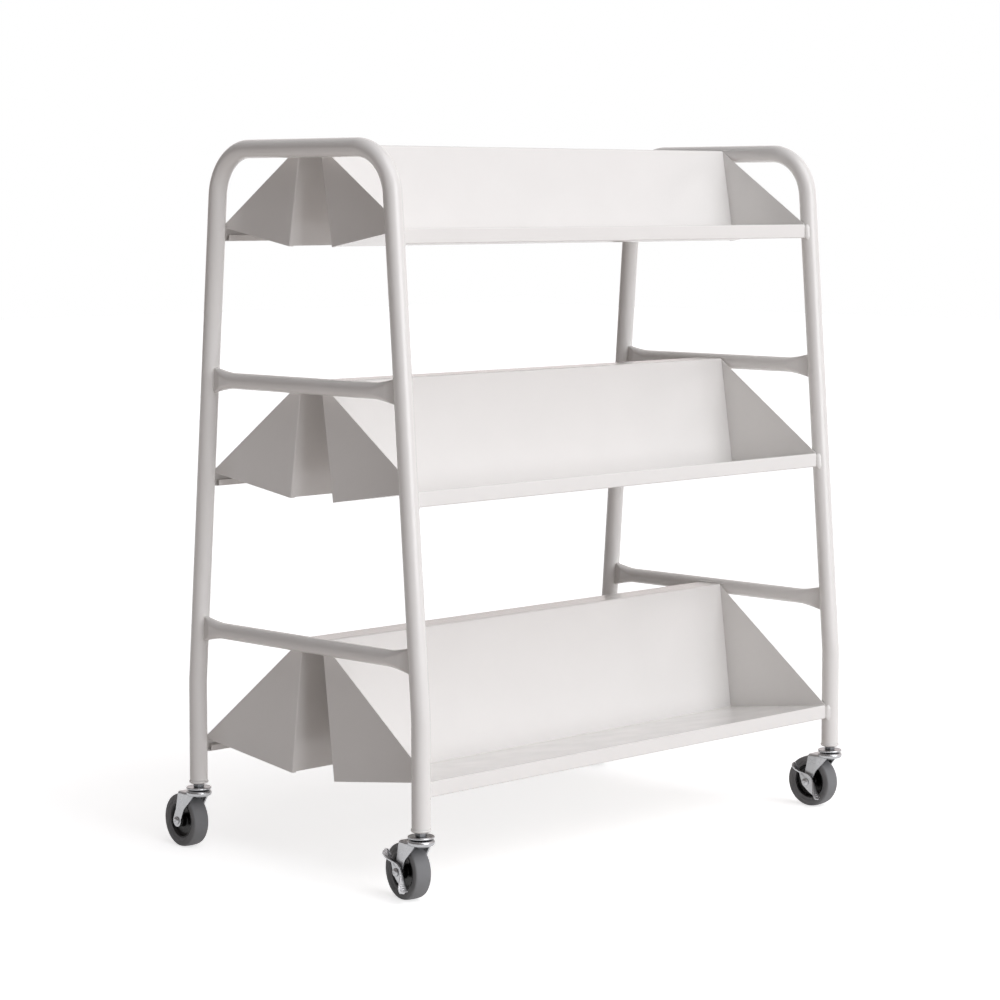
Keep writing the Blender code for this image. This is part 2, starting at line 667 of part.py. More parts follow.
build_frames()
build_shelves()
build_casters()
bpy.context.view_layer.update()
centre_on_floor()
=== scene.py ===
"""Looks of a double-sided book trolley: powder coated tube and sheet, zinc plated casters, grey tyres.

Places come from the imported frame. Every piece is modelled in metres, in the frame's own coordinates.
"""

import json
import math

import bmesh
import bpy
from bpy.props import FloatProperty, FloatVectorProperty, PointerProperty
from mathutils import Matrix, Vector


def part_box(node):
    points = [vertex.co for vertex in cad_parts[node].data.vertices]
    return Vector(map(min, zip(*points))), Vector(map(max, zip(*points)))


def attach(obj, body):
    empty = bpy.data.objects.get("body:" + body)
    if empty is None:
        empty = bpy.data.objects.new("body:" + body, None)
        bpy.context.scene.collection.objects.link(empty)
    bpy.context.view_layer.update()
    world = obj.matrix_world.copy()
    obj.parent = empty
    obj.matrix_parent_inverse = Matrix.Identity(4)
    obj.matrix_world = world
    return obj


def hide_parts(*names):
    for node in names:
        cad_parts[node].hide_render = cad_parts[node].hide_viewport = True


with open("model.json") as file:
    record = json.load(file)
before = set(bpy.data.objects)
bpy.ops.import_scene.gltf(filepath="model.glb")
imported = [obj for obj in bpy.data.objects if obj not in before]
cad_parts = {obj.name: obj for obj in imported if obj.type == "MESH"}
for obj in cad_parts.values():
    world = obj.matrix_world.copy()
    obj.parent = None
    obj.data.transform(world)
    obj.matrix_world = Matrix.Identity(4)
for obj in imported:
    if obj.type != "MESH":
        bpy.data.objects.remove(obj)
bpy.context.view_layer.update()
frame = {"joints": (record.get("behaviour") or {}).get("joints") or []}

bl_info = {
    "name": "Book Trolley",
    "version": (1, 0, 0),
    "blender": (4, 5, 0),
    "location": "View3D > Sidebar > Trolley",
    "description": "Models the painted, plated and moulded pieces of a book trolley around its frame",
    "category": "Mesh",
}

MM = 0.001
MERGE = 0.00001
TINY = 0.0002
SMOOTH_ANGLE = math.radians(35)
SHARP_ANGLE = math.radians(30)
TUBE_SIDES = 48
DRILL_SIDES = 32
DRILL_DEPTH = 80 * MM
FLOOR_SIZE = 30.0
SENSOR_WIDTH = 36.0
ENDS = {"left": -1, "right": 1}
LEVELS = ("top", "middle", "bottom")
CORNERS = ("front_left", "front_right", "rear_left", "rear_right")
BRAKED = ("front_left", "front_right")
JOINTS = {joint["name"]: joint for joint in frame["joints"]}

# The trolley's middle line and main heights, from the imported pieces
LEFT_LOW, LEFT_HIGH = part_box("left_hoop")
RIGHT_LOW, RIGHT_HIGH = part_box("right_hoop")
MIDDLE = Vector(((LEFT_LOW.x + RIGHT_HIGH.x) / 2, (LEFT_LOW.y + LEFT_HIGH.y) / 2, 0.0))
TUBE_RADIUS = (LEFT_HIGH.x - LEFT_LOW.x) / 2
HOOP_X = (RIGHT_HIGH.x - LEFT_LOW.x) / 2 - TUBE_RADIUS
FOOT_Y = (LEFT_HIGH.y - LEFT_LOW.y) / 2 - TUBE_RADIUS
TOP_BAR_Z = LEFT_HIGH.z - TUBE_RADIUS
TUBE_END_Z = LEFT_LOW.z
WHEEL_RADIUS = JOINTS["front_left_roll"]["pos_m"][2]
HALF_TURN = Matrix.Translation(MIDDLE) @ Matrix.Rotation(math.pi, 4, "Z") @ Matrix.Translation(-MIDDLE)


def hex_colour(text):
    """Linear red, green and blue of an sRGB hex colour."""
    shares = [int(text[start:start + 2], 16) / 255 for start in (1, 3, 5)]
    return [share / 12.92 if share <= 0.04045 else ((share + 0.055) / 1.055) ** 2.4 for share in shares]


def length(name, description, default):
    return FloatProperty(name=name, description=description, default=default, min=0.0, unit="LENGTH")


def angle(name, description, degrees):
    return FloatProperty(name=name, description=description, default=math.radians(degrees), subtype="ANGLE")


def number(name, description, default):
    return FloatProperty(name=name, description=description, default=default)


def direction(name, description, way):
    return FloatVectorProperty(name=name, description=description, default=way, subtype="DIRECTION")


def colour(name, description, text):
    return FloatVectorProperty(name=name, description=description, default=hex_colour(text), subtype="COLOR")


class EndFrameSizes(bpy.types.PropertyGroup):
    """Sizes of the bent tubes and of the crossbars"""
    leg_top_y: length("Leg top", "Half distance of the legs where their lines meet the top bar", 170 * MM)
    kink_z: length("Kink height", "Height at which the splayed legs turn upright", 238 * MM)
    top_bend: length("Top bend", "Bend radius of the upper corners on the tube's axis", 67 * MM)
    kink_bend: length("Kink bend", "Bend radius of the kink on the tube's axis", 150 * MM)
    wall: length("Tube wall", "Wall of the bent tubes", 1.5 * MM)
    bar_radius: length("Crossbar radius", "Radius of the crossbars away from their ends", 11 * MM)
    bar_end_width: length("Crossbar end width", "Width of the pressed ends at the legs", 5.5 * MM)
    bar_end_height: length("Crossbar end height", "Height of the pressed ends", 35 * MM)
    bar_flare: length("Crossbar flare", "Length over which an end grows tall", 38 * MM)
    bar_pinch: length("Crossbar pinch", "Length of the pinched stretch beside a leg", 16 * MM)
    bar_shoulder: length("Crossbar shoulder", "Width of an end where the pinched stretch begins", 17.5 * MM)
    bar_crease: length("Crossbar crease", "Half width of the crease where the pinch begins", 0.5 * MM)
    fillet: length("Weld fillet", "How far the weld stands out beside a crossbar's end", 0.4 * MM)
    fillet_reach: length("Weld reach", "How far the weld runs along a crossbar's end", 3 * MM)


class ShelfSizes(bpy.types.PropertyGroup):
    """Sizes of the folded troughs and their end plates"""
    sheet: length("Sheet", "Thickness of the folded sheet", 1.2 * MM)
    fold: length("Fold radius", "Outer radius of the folds", 2.0 * MM)
    cut_edge: length("Cut edge", "Rounding of the sheet's painted cut edges", 0.3 * MM)
    ridge_half: length("Ridge half width", "Width of one top flange", 21.7 * MM)
    valley_half: length("Valley half width", "Distance of the valley fold from the middle", 44.2 * MM)
    ridge_tab: length("Ridge tab", "How far a top flange is notched back beside its fold", 3.0 * MM)
    ridge_overlap: length("Ridge overlap", "How far a ridge reaches over the bar that carries it", 2.0 * MM)
    lip_rise: length("Lip rise", "Height of the lip's top above the valley", 24.5 * MM)
    lip_height: length("Lip height", "Height of the lip's face", 20.5 * MM)
    lip_return: length("Lip return", "Depth of the flange under the lip", 9.0 * MM)
    lip_upturn: length("Lip upturn", "Height of the flange's turned up edge", 8.5 * MM)
    lip_end: length("Lip relief", "How far the return stops short of the lip's end", 5.5 * MM)
    plate_inset: length("Plate inset", "How far the end plates stand inside the lip's ends", 0.5 * MM)
    plate_flange: length("Plate flange", "Depth of the end plates' folded flange", 7.0 * MM)
    gap: length("Gap", "Clearance between neighbouring sheets", 0.3 * MM)


class WeldSizes(bpy.types.PropertyGroup):
    """Sizes of the weld beads at the lips' ends and at the ridges"""
    lip_width: length("Lip weld width", "Half width of the weld at a lip's end", 4.1 * MM)
    lip_height: length("Lip weld height", "Half thickness of the weld at a lip's end", 1.9 * MM)
    lip_overrun: length("Lip weld overrun", "How far a weld runs below the lip", 3.0 * MM)
    lip_inset: length("Lip weld inset", "Distance of the weld from the leg's axis along the lip", 11.4 * MM)
    lip_proud: length("Lip weld stand", "Distance of the weld's middle before the lip's face", 2.4 * MM)
    lip_slant: angle("Lip weld slant", "Turn of the weld from the lip towards the leg", 38)
    ridge_width: length("Ridge weld width", "Half width of the weld at a ridge's end", 2.2 * MM)
    ridge_height: length("Ridge weld height", "Half thickness of the weld at a ridge's end", 1.4 * MM)
    ridge_overlap: length("Ridge weld overlap", "How far the weld's middle lies over the bar", 1.2 * MM)
    ridge_slant: angle("Ridge weld slant", "Turn of the weld from the ridge towards the bar", 35)


class CasterSizes(bpy.types.PropertyGroup):
    """Sizes of the casters, about the swivel axis and the axle"""
    trail: length("Trail", "Distance of the axle behind the swivel axis", 30 * MM)
    tyre_half: length("Tyre half width", "Half width of the tyre", 12 * MM)
    hub_radius: length("Hub radius", "Outer radius of the hub", 25 * MM)
    fork_inner: length("Fork inside", "Half width between the fork's legs", 14.5 * MM)
    fork_sheet: length("Fork sheet", "Thickness of the fork's sheet", 2.5 * MM)
    fork_foot: length("Fork foot radius", "Radius of the fork's rounded feet", 9 * MM)
    fork_fold: length("Fork fold", "Rounding of the folds between crown and legs", 3.5 * MM)
    fork_crease: angle("Fork crease", "Turn of the fork's front strips towards the wheel", 12)
    crease_at: length("Crease place", "Distance of the fork's crease behind the swivel axis", 12.5 * MM)
    crease_round: length("Crease rounding", "Rounding of the fork's crease", 1.6 * MM)
    crown_z: length("Crown height", "Height of the crown's upper face", 80.4 * MM)
    race_radius: length("Race radius", "Outer radius of the lower bearing race", 18 * MM)
    cap_radius: length("Cap radius", "Outer radius of the upper bearing cup", 17.8 * MM)
    pin_radius: length("Pin radius", "Radius of the riveted pin through the fork", 4.3 * MM)
    axle_radius: length("Axle radius", "Radius of the axle bolt", 4 * MM)
    axle_end: length("Axle end", "How far the axle's thread stands out of its nut", 1 * MM)
    head_radius: length("Axle head radius", "Radius of the axle bolt's head", 5.6 * MM)
    nut_radius: length("Nut radius", "Corner radius of the axle nut", 7.5 * MM)
    nut_height: length("Nut height", "Height of the axle nut", 5 * MM)
    nut_edge: length("Nut edge", "Rounding of the nuts' edges", 0.7 * MM)
    stem_nut_radius: length("Stem nut radius", "Corner radius of the nut on the stem", 8 * MM)
    stem_nut_height: length("Stem nut height", "Height of the nut on the stem", 4.5 * MM)
    stem_nut_z: length("Stem nut place", "Height of the stem nut's middle above the floor", 89.95 * MM)
    stem_nut_turn: angle("Stem nut turn", "Turn of the stem nut about the stem", 14)
    pedal_sheet: length("Pedal sheet", "Thickness of the pedal's sheet", 2 * MM)
    pedal_fold: length("Pedal fold", "Rounding of the fold between the pedal's leaf and flange", 1.1 * MM)
    rib_radius: length("Rib radius", "Radius of the ribs on the pedal's lower pad", 1 * MM)
    rib_length: length("Rib length", "Length of the ribs on the pedal's lower pad", 6 * MM)
    gap: length("Gap", "Clearance between neighbouring pieces", 0.3 * MM)


class Finishes(bpy.types.PropertyGroup):
    """Colours of the finishes and of the stage"""
    paint: colour("Paint", "Powder coat on the tubes and sheets", "#F0EEEC")
    zinc: colour("Zinc", "Zinc plating on the casters", "#B6B7B9")
    # The stems' darker zinc is painted shade, standing for the shade that falls on the stems and their nuts
    # under the cups
    stem: colour("Stem", "Oiled zinc of the stems and their nuts", "#77787A")
    rubber: colour("Rubber", "Grey rubber of the tyres", "#808183")
    nylon: colour("Nylon", "Black nylon of the hubs", "#070707")
    floor: colour("Floor", "Pale studio floor", "#E8E8E8")
    bounce: colour("Floor bounce", "Floor as the light on the trolley sees it", "#EEE8E4")
    fill: colour("Fill", "Tint of the light from all round", "#FFF6F4")
    lamp: colour("Lamp", "Tint of the soft lights", "#FAFCFF")


class StageSettings(bpy.types.PropertyGroup):
    """Camera and light"""
    camera_place: FloatVectorProperty(
        name="Camera", description="Camera from the trolley's middle on the floor",
        default=(-2.9787, -2.9182, 0.9071), subtype="TRANSLATION", unit="LENGTH")
    camera_yaw: angle("Camera yaw", "Turn of the view from straight ahead to the right", 45.1)
    camera_pitch: angle("Camera pitch", "Tilt of the view below level", 4.34)
    focal: number("Focal length", "Lens in millimetres on a 36 mm sensor", 105.25)
    shift: number("Shift", "Vertical lens shift as a share of the width", -0.08)
    key: number("Key light", "Strength of the high soft light", 1.2)
    key_spread: angle("Key spread", "Apparent size of the high light", 50)
    key_from: direction("Key direction", "Where the high light comes from", (0.02, -0.6, 0.8))
    front: number("Front light", "Strength of the low soft light", 1.52)
    front_spread: angle("Front spread", "Apparent size of the low light", 42)
    front_from: direction("Front direction", "Where the low light comes from", (0.04, -0.99, 0.12))
    fill: number("Fill light", "Strength of the light from all round", 0.29)
    fill_from: direction("Fill direction", "Brightest side of the studio", (0.95, -0.25, 0.2))
    dark: number("Dark side", "Level of the studio's dark side", 0.2)
    dark_until: number("Dark until", "Cosine from the brightest side up to which it is dark", -0.8)
    bright_from: number("Bright from", "Cosine from the brightest side beyond which it is bright", 0.5)
    lift: number("Floor lift", "Light added to the floor as the camera sees it", 0.68)


# Modelling steps

def start(add, **settings):
    """Adds a primitive with nothing else selected and opens all of it for editing."""
    bpy.ops.object.select_all(action="DESELECT")
    add(**settings)
    bpy.ops.object.transform_apply(location=True, rotation=True, scale=True)
    bpy.ops.object.mode_set(mode="EDIT")
    bpy.ops.mesh.select_mode(type="VERT")
    bpy.ops.mesh.select_all(action="SELECT")
    return bpy.context.object


def pick(kind, test):
    """Selects the vertices, edges or faces of the edited mesh whose middle passes the test."""
    bpy.ops.mesh.select_mode(type=kind)
    bpy.ops.mesh.select_all(action="DESELECT")
    shape = bmesh.from_edit_mesh(bpy.context.object.data)
    items = {"VERT": shape.verts, "EDGE": shape.edges, "FACE": shape.faces}[kind]
    for item in items:
        corners = [item] if kind == "VERT" else item.verts
        if test(sum((corner.co for corner in corners), Vector()) / len(corners)):
            item.select_set(True)
    bmesh.update_edit_mesh(bpy.context.object.data)


def shift(way):
    bpy.ops.transform.translate(value=way)


def draw(way):
    """Extrudes what is selected along a way."""
    bpy.ops.mesh.extrude_region_move(TRANSFORM_OT_translate={"value": way})


def stretch(factors, centre):
    bpy.ops.transform.resize(value=factors, center_override=centre)


def clean():
    """Merges doubles in the edited mesh and turns its faces outwards."""
    bpy.ops.mesh.select_all(action="SELECT")
    bpy.ops.mesh.remove_doubles(threshold=MERGE)
    bpy.ops.mesh.normals_make_consistent(inside=False)


def face_along(way):
    """Turns an open sheet so that its largest face looks along a way."""
    bpy.ops.mesh.select_all(action="SELECT")
    bpy.ops.mesh.normals_make_consistent(inside=False)
    shape = bmesh.from_edit_mesh(bpy.context.object.data)
    largest = max(shape.faces, key=lambda face: face.calc_area())
    if largest.normal.dot(way) < 0:
        bpy.ops.mesh.flip_normals()


def move_corners(points):
    """Moves the vertices of an edited ring one by one to the points of an outline."""
    for index, point in enumerate(points):
        shape = bmesh.from_edit_mesh(bpy.context.object.data)
        shape.verts.ensure_lookup_table()
        bpy.ops.mesh.select_all(action="DESELECT")
        shape.verts[index].select_set(True)
        bmesh.update_edit_mesh(bpy.context.object.data)
        shift(Vector(point) - shape.verts[index].co)


def outline(points):
    """A flat face with the given corners, open for editing."""
    piece = start(bpy.ops.mesh.primitive_circle_add, vertices=len(points), radius=MM, fill_type="NGON")
    move_corners(points)
    return piece


def round_folds(radius, segments):
    """Bevels the edited sheet's sharp folds."""
    bpy.ops.mesh.select_mode(type="EDGE")
    bpy.ops.mesh.select_all(action="DESELECT")
    bpy.ops.mesh.edges_select_sharp(sharpness=SHARP_ANGLE)
    bpy.ops.mesh.bevel(offset=radius, segments=segments, affect="EDGES")


def only(piece):
    """Leaves edit mode with just this piece selected."""
    if bpy.context.mode != "OBJECT":
        bpy.ops.object.mode_set(mode="OBJECT")
    bpy.ops.object.select_all(action="DESELECT")
    piece.select_set(True)
    bpy.context.view_layer.objects.active = piece


def modify(piece, kind, **settings):
    """Adds a modifier to a piece and applies it."""
    only(piece)
    bpy.ops.object.modifier_add(type=kind)
    modifier = piece.modifiers[-1]
    for key, value in settings.items():
        setattr(modifier, key, value)
    bpy.ops.object.modifier_apply(modifier=modifier.name)


def thicken(piece, thickness):
    modify(piece, "SOLIDIFY", thickness=thickness, offset=-1.0, use_even_offset=True,
           use_quality_normals=True)


def round_edges(piece, width, segments=2):
    modify(piece, "BEVEL", width=width, segments=segments, limit_method="ANGLE", angle_limit=SMOOTH_ANGLE)


def combine(piece, other, operation):
    """Joins another closed piece to this one, or cuts it away, and removes it."""
    modify(piece, "BOOLEAN", operation=operation, object=other, solver="MANIFOLD")
    bpy.data.objects.remove(other)


def drill(piece, radius, place, rotation=(0, 0, 0)):
    """Cuts a round hole right through a piece."""
    bit = start(bpy.ops.mesh.primitive_cylinder_add, vertices=DRILL_SIDES, radius=radius, depth=DRILL_DEPTH,
                location=place, rotation=rotation)
    only(bit)
    combine(piece, bit, "DIFFERENCE")


def hexagon(radius, height, middle_z, edge, turn=0.0):
    """A hexagon nut about Z with rounded edges."""
    nut = start(bpy.ops.mesh.primitive_cylinder_add, vertices=6, radius=radius, depth=height,
                location=(0, 0, middle_z), rotation=(0, 0, turn))
    bpy.ops.mesh.bevel(offset=edge, segments=2, affect="EDGES")
    only(nut)
    return nut


def split_large_faces(piece):
    """Cuts faces of many corners into triangles, so that none can fold over a hole."""
    modify(piece, "TRIANGULATE", min_vertices=5)


def turned(profile, sides):
    """A solid of revolution about Z: one point drawn along (radius, height) steps and spun round."""
    piece = start(bpy.ops.mesh.primitive_plane_add, size=MM)
    bpy.ops.mesh.merge(type="CENTER")
    shift((profile[0][0], 0, profile[0][1]))
    for (radius, height), (next_radius, next_height) in zip(profile, profile[1:]):
        draw((next_radius - radius, 0, next_height - height))
    bpy.ops.mesh.select_all(action="SELECT")
    bpy.ops.mesh.spin(steps=sides, angle=2 * math.pi, center=(0, 0, 0), axis=(0, 0, 1))
    clean()
    only(piece)
    return piece


def turned_ring(profile, sides):
    """A turned ring, whose profile comes back to where it began."""
    return turned(profile + profile[:1], sides)


def set_in_place(piece, matrix):
    """Moves a piece by a matrix and keeps the place in its mesh."""
    only(piece)
    piece.matrix_world = matrix
    bpy.ops.object.transform_apply(location=True, rotation=True, scale=True)
    return piece


def copy_of(master, matrix):
    """A copy of a piece with its own mesh, set in place."""
    only(master)
    bpy.ops.object.duplicate()
    return set_in_place(bpy.context.object, matrix)


def finish(piece, name, body, slot, material, *nodes):
    """Names, shades and paints a piece, ties it to its body, and hides the nodes it stands for."""
    only(piece)
    piece.name = name
    piece.data.name = name
    bpy.ops.object.shade_smooth_by_angle(angle=SMOOTH_ANGLE)
    modify(piece, "WEIGHTED_NORMAL", keep_sharp=True)
    piece.data.materials.clear()
    piece.data.materials.append(material)
    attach(piece, body)
    if nodes:
        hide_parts(*nodes)


def millimetres(points):
    """Points written in millimetres, in metres."""
    return [tuple(value * MM for value in point) for point in points]


def along_x(offset=(0, 0, 0)):
    """Turns a piece modelled about Z so that its top looks along +X."""
    return Matrix.Translation(offset) @ Matrix.Rotation(math.pi / 2, 4, "Y")


# Materials

def add_node(tree, kind, inputs=None, **settings):
    """Adds a node, gives it its settings, and sets each named input or links a socket to it."""
    node = tree.nodes.new(kind)
    for key, value in settings.items():
        setattr(node, key, value)
    for name, value in (inputs or {}).items():
        if isinstance(value, bpy.types.NodeSocket):
            tree.links.new(value, node.inputs[name])
        else:
            node.inputs[name].default_value = value
    return node


def per_mm(size):
    """Texture scale whose features are about this many millimetres wide."""
    return 1000.0 / size


def shade(base, share):
    """A colour made darker or lighter by a share, with an alpha of one."""
    return [min(channel * share, 1.0) for channel in base] + [1.0]


def mottled_material(name, base, patch, shades, rough, grain, grain_depth, metallic=0.0, specular=0.5):
    """A Principled material with soft patches of colour and gloss and a fine bumpy grain."""
    material = bpy.data.materials.get(name)
    if material:
        return material
    material = bpy.data.materials.new(name)
    material.use_nodes = True
    tree = material.node_tree
    shader = tree.nodes["Principled BSDF"]
    place = add_node(tree, "ShaderNodeTexCoord").outputs["Object"]
    patches = add_node(tree, "ShaderNodeTexNoise", {"Vector": place, "Scale": per_mm(patch), "Detail": 4.0})
    # Sockets 6 and 7 of a colour mix are its two colours, and 2 is its result
    mix = add_node(tree, "ShaderNodeMix", {"Factor": patches.outputs["Fac"], 6: shade(base, shades[0]),
                                           7: shade(base, shades[1])}, data_type="RGBA")
    gloss = add_node(tree, "ShaderNodeMapRange", {"Value": patches.outputs["Fac"], "From Min": 0.3,
                                                  "From Max": 0.7, "To Min": rough[0], "To Max": rough[1]})
    lumps = add_node(tree, "ShaderNodeTexNoise", {"Vector": place, "Scale": per_mm(grain), "Detail": 2.0})
    bump = add_node(tree, "ShaderNodeBump", {"Height": lumps.outputs["Fac"], "Strength": 0.5,
                                             "Distance": grain_depth})
    tree.links.new(mix.outputs[2], shader.inputs["Base Color"])
    tree.links.new(gloss.outputs["Result"], shader.inputs["Roughness"])
    tree.links.new(bump.outputs["Normal"], shader.inputs["Normal"])
    shader.inputs["Metallic"].default_value = metallic
    shader.inputs["Specular IOR Level"].default_value = specular
    return material


def powder_coat(finishes):
    # Baked polyester powder: glossy white with a faint orange peel, drawn coarser than the real 1 mm lumps
    return mottled_material("white_polyester_powder_coat", finishes.paint, patch=70, shades=(0.975, 1.02),
                            rough=(0.13, 0.19), grain=3.5, grain_depth=0.02 * MM)


def zinc_plate(finishes):
    # Bright zinc on pressed steel: soft mirror with cloudy patches and the press's slight waviness
    return mottled_material("bright_zinc_plated_steel", finishes.zinc, patch=9, shades=(0.86, 1.1),
                            rough=(0.22, 0.38), grain=6, grain_depth=0.10 * MM, metallic=1.0)


def zinc_darkened_as_painted_shade(finishes):
    # Zinc plating with painted shade: darker than the plating round it, to stand for the shade on the stems
    # and their nuts, and blotchier
    return mottled_material("zinc_plated_steel_darkened_as_painted_shade", finishes.stem, patch=5, shades=(0.6, 1.2),
                            rough=(0.25, 0.45), grain=4, grain_depth=0.08 * MM, metallic=1.0)


def grey_rubber(finishes):
    # Moulded thermoplastic rubber: matt grey with scuffed, slightly lighter patches and a fine mould grain
    return mottled_material("grey_thermoplastic_rubber", finishes.rubber, patch=14, shades=(0.86, 1.12),
                            rough=(0.62, 0.8), grain=1.6, grain_depth=0.10 * MM)


def black_nylon(finishes):
    # Moulded nylon: deep black with a satin skin and faint flow marks
    return mottled_material("black_moulded_nylon", finishes.nylon, patch=18, shades=(0.8, 1.3),
                            rough=(0.22, 0.34), grain=2.2, grain_depth=0.03 * MM, specular=0.25)


# Bent tubes and crossbars

def splay(sizes):
    return math.atan2(FOOT_Y - sizes.leg_top_y, TOP_BAR_Z - sizes.kink_z)


def leg_half_depth(sizes, z):
    """Distance from the middle of the trolley to a leg's axis at height z."""
    return FOOT_Y - max(0.0, z - sizes.kink_z) * math.tan(splay(sizes))


def make_hoop(sizes, x):
    """A ring drawn up one leg, swung round the bends, and drawn down the other leg."""
    kink_steps = 6
    top_steps = 24
    lean = splay(sizes)
    top_turn = math.pi / 2 - lean
    kink_tangent = sizes.kink_bend * math.tan(lean / 2)
    top_tangent = sizes.top_bend * math.tan(top_turn / 2)
    foot_run = sizes.kink_z - kink_tangent - TUBE_END_Z
    leg_run = (TOP_BAR_Z - sizes.kink_z) / math.cos(lean) - kink_tangent - top_tangent
    top_run = 2 * (sizes.leg_top_y - top_tangent)
    runs = [
        (foot_run, lean, sizes.kink_bend, kink_steps),
        (leg_run, top_turn, sizes.top_bend, top_steps),
        (top_run, top_turn, sizes.top_bend, top_steps),
        (leg_run, lean, sizes.kink_bend, kink_steps),
        (foot_run, 0, 0, 0),
    ]
    here = Vector((x, MIDDLE.y - FOOT_Y, TUBE_END_Z))
    heading = 0.0
    piece = start(bpy.ops.mesh.primitive_circle_add, vertices=TUBE_SIDES, radius=TUBE_RADIUS, location=here)
    for run, turn, radius, steps in runs:
        ahead = Vector((0, math.sin(heading), math.cos(heading)))
        aside = Vector((0, math.cos(heading), -math.sin(heading)))
        draw(ahead * run)
        here += ahead * run
        if turn:
            centre = here + aside * radius
            bpy.ops.mesh.spin(steps=steps, angle=turn, center=centre, axis=(1, 0, 0))
            here = centre - radius * Vector((0, math.cos(heading + turn), -math.sin(heading + turn)))
            heading += turn
    clean()
    thicken(piece, sizes.wall)
    return piece


def make_crossbar(sizes, x, z):
    """Rings from leg to leg, squeezed tall and flat near both legs, and bridged one to the next."""
    steps = 8
    flare_power = 1.4
    fillet_power = 2
    largest_fillet = 1.5
    inside_leg = millimetres([(-6, -2, -0.6)])[0]
    reach = leg_half_depth(sizes, z) - TUBE_RADIUS
    end = sizes.bar_end_width / 2
    shoulder = sizes.bar_shoulder / 2
    pinch = sizes.bar_pinch
    taper = sizes.bar_flare - pinch
    insets = list(inside_leg)
    insets += [pinch * step / steps for step in range(steps)]
    insets += [pinch - sizes.bar_crease, pinch + sizes.bar_crease]
    insets += [pinch + taper * step / steps for step in range(1, steps + 1)]
    half = []
    for inset in insets:
        if inset < pinch:
            weld = min(max(1 - inset / sizes.fillet_reach, 0.0), largest_fillet) ** fillet_power
            wide = shoulder + (end - shoulder) * (1 - max(inset, 0.0) / pinch) + sizes.fillet * weld
        else:
            wide = shoulder + (sizes.bar_radius - shoulder) * (inset - pinch) / taper
        pressed = (1 - inset / sizes.bar_flare) ** flare_power
        tall = sizes.bar_radius + (sizes.bar_end_height / 2 - sizes.bar_radius) * pressed
        half.append((inset - reach, wide, tall))
    stations = half + [(-y, wide, tall) for y, wide, tall in reversed(half)]
    piece = None
    for y, wide, tall in stations:
        centre = Vector((x, MIDDLE.y + y, z))
        ring = dict(vertices=TUBE_SIDES, radius=sizes.bar_radius, location=centre,
                    rotation=(math.pi / 2, 0, 0))
        if piece is None:
            piece = start(bpy.ops.mesh.primitive_circle_add, **ring)
        else:
            bpy.ops.mesh.primitive_circle_add(**ring)
        stretch((1, 1, tall / sizes.bar_radius), centre)
        for way in (1, -1):
            pick("VERT", lambda at: abs(at.y - centre.y) < TINY and way * (at.x - x) > wide)
            stretch((0, 1, 1), centre + Vector((way * wide, 0, 0)))
    for (y, _, _), (next_y, _, _) in zip(stations, stations[1:]):
        pick("EDGE", lambda at: min(abs(at.y - MIDDLE.y - y), abs(at.y - MIDDLE.y - next_y)) < TINY)
        bpy.ops.mesh.bridge_edge_loops()
    for last_y in (stations[0][0], stations[-1][0]):
        pick("EDGE", lambda at: abs(at.y - MIDDLE.y - last_y) < TINY)
        bpy.ops.mesh.edge_face_add()
    clean()
    only(piece)
    return piece


class TROLLEY_OT_end_frames(bpy.types.Operator):
    """Bends the two tube hoops and presses the crossbars between their legs"""
    bl_idname = "trolley.end_frames"
    bl_label = "End Frames"

    def execute(self, context):
        sizes = context.scene.trolley_end_frames
        paint = powder_coat(context.scene.trolley_finishes)
        for end_name, end in ENDS.items():
            x = MIDDLE.x + end * HOOP_X
            hoop = f"{end_name}_hoop"
            finish(make_hoop(sizes, x), f"{hoop}_tube", "frame", "frame_paint", paint, hoop)
            for place in ("upper", "lower"):
                bar = f"{end_name}_{place}_crossbar"
                low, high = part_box(bar)
                piece = make_crossbar(sizes, x, (low.z + high.z) / 2)
                finish(piece, f"{bar}_tube", "frame", "frame_paint", paint, bar)
        return {"FINISHED"}


# Shelves

def shelf_lines(sizes, level):
    """Heights and half depth of a level's troughs: ridge, valley, lip top and lip face."""
    low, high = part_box(f"{level}_front_trough")
    valley_z = low.z + sizes.sheet
    return high.z, valley_z, valley_z + sizes.lip_rise, MIDDLE.y - low.y


def lip_half_length(sizes):
    return HOOP_X - TUBE_RADIUS - sizes.gap


def plate_half_length(sizes):
    return lip_half_length(sizes) - sizes.plate_inset


def ridge_bar_radius(frame_sizes, level):
    """Radius of the bar that carries a level's ridge."""
    return TUBE_RADIUS if level == "top" else frame_sizes.bar_radius


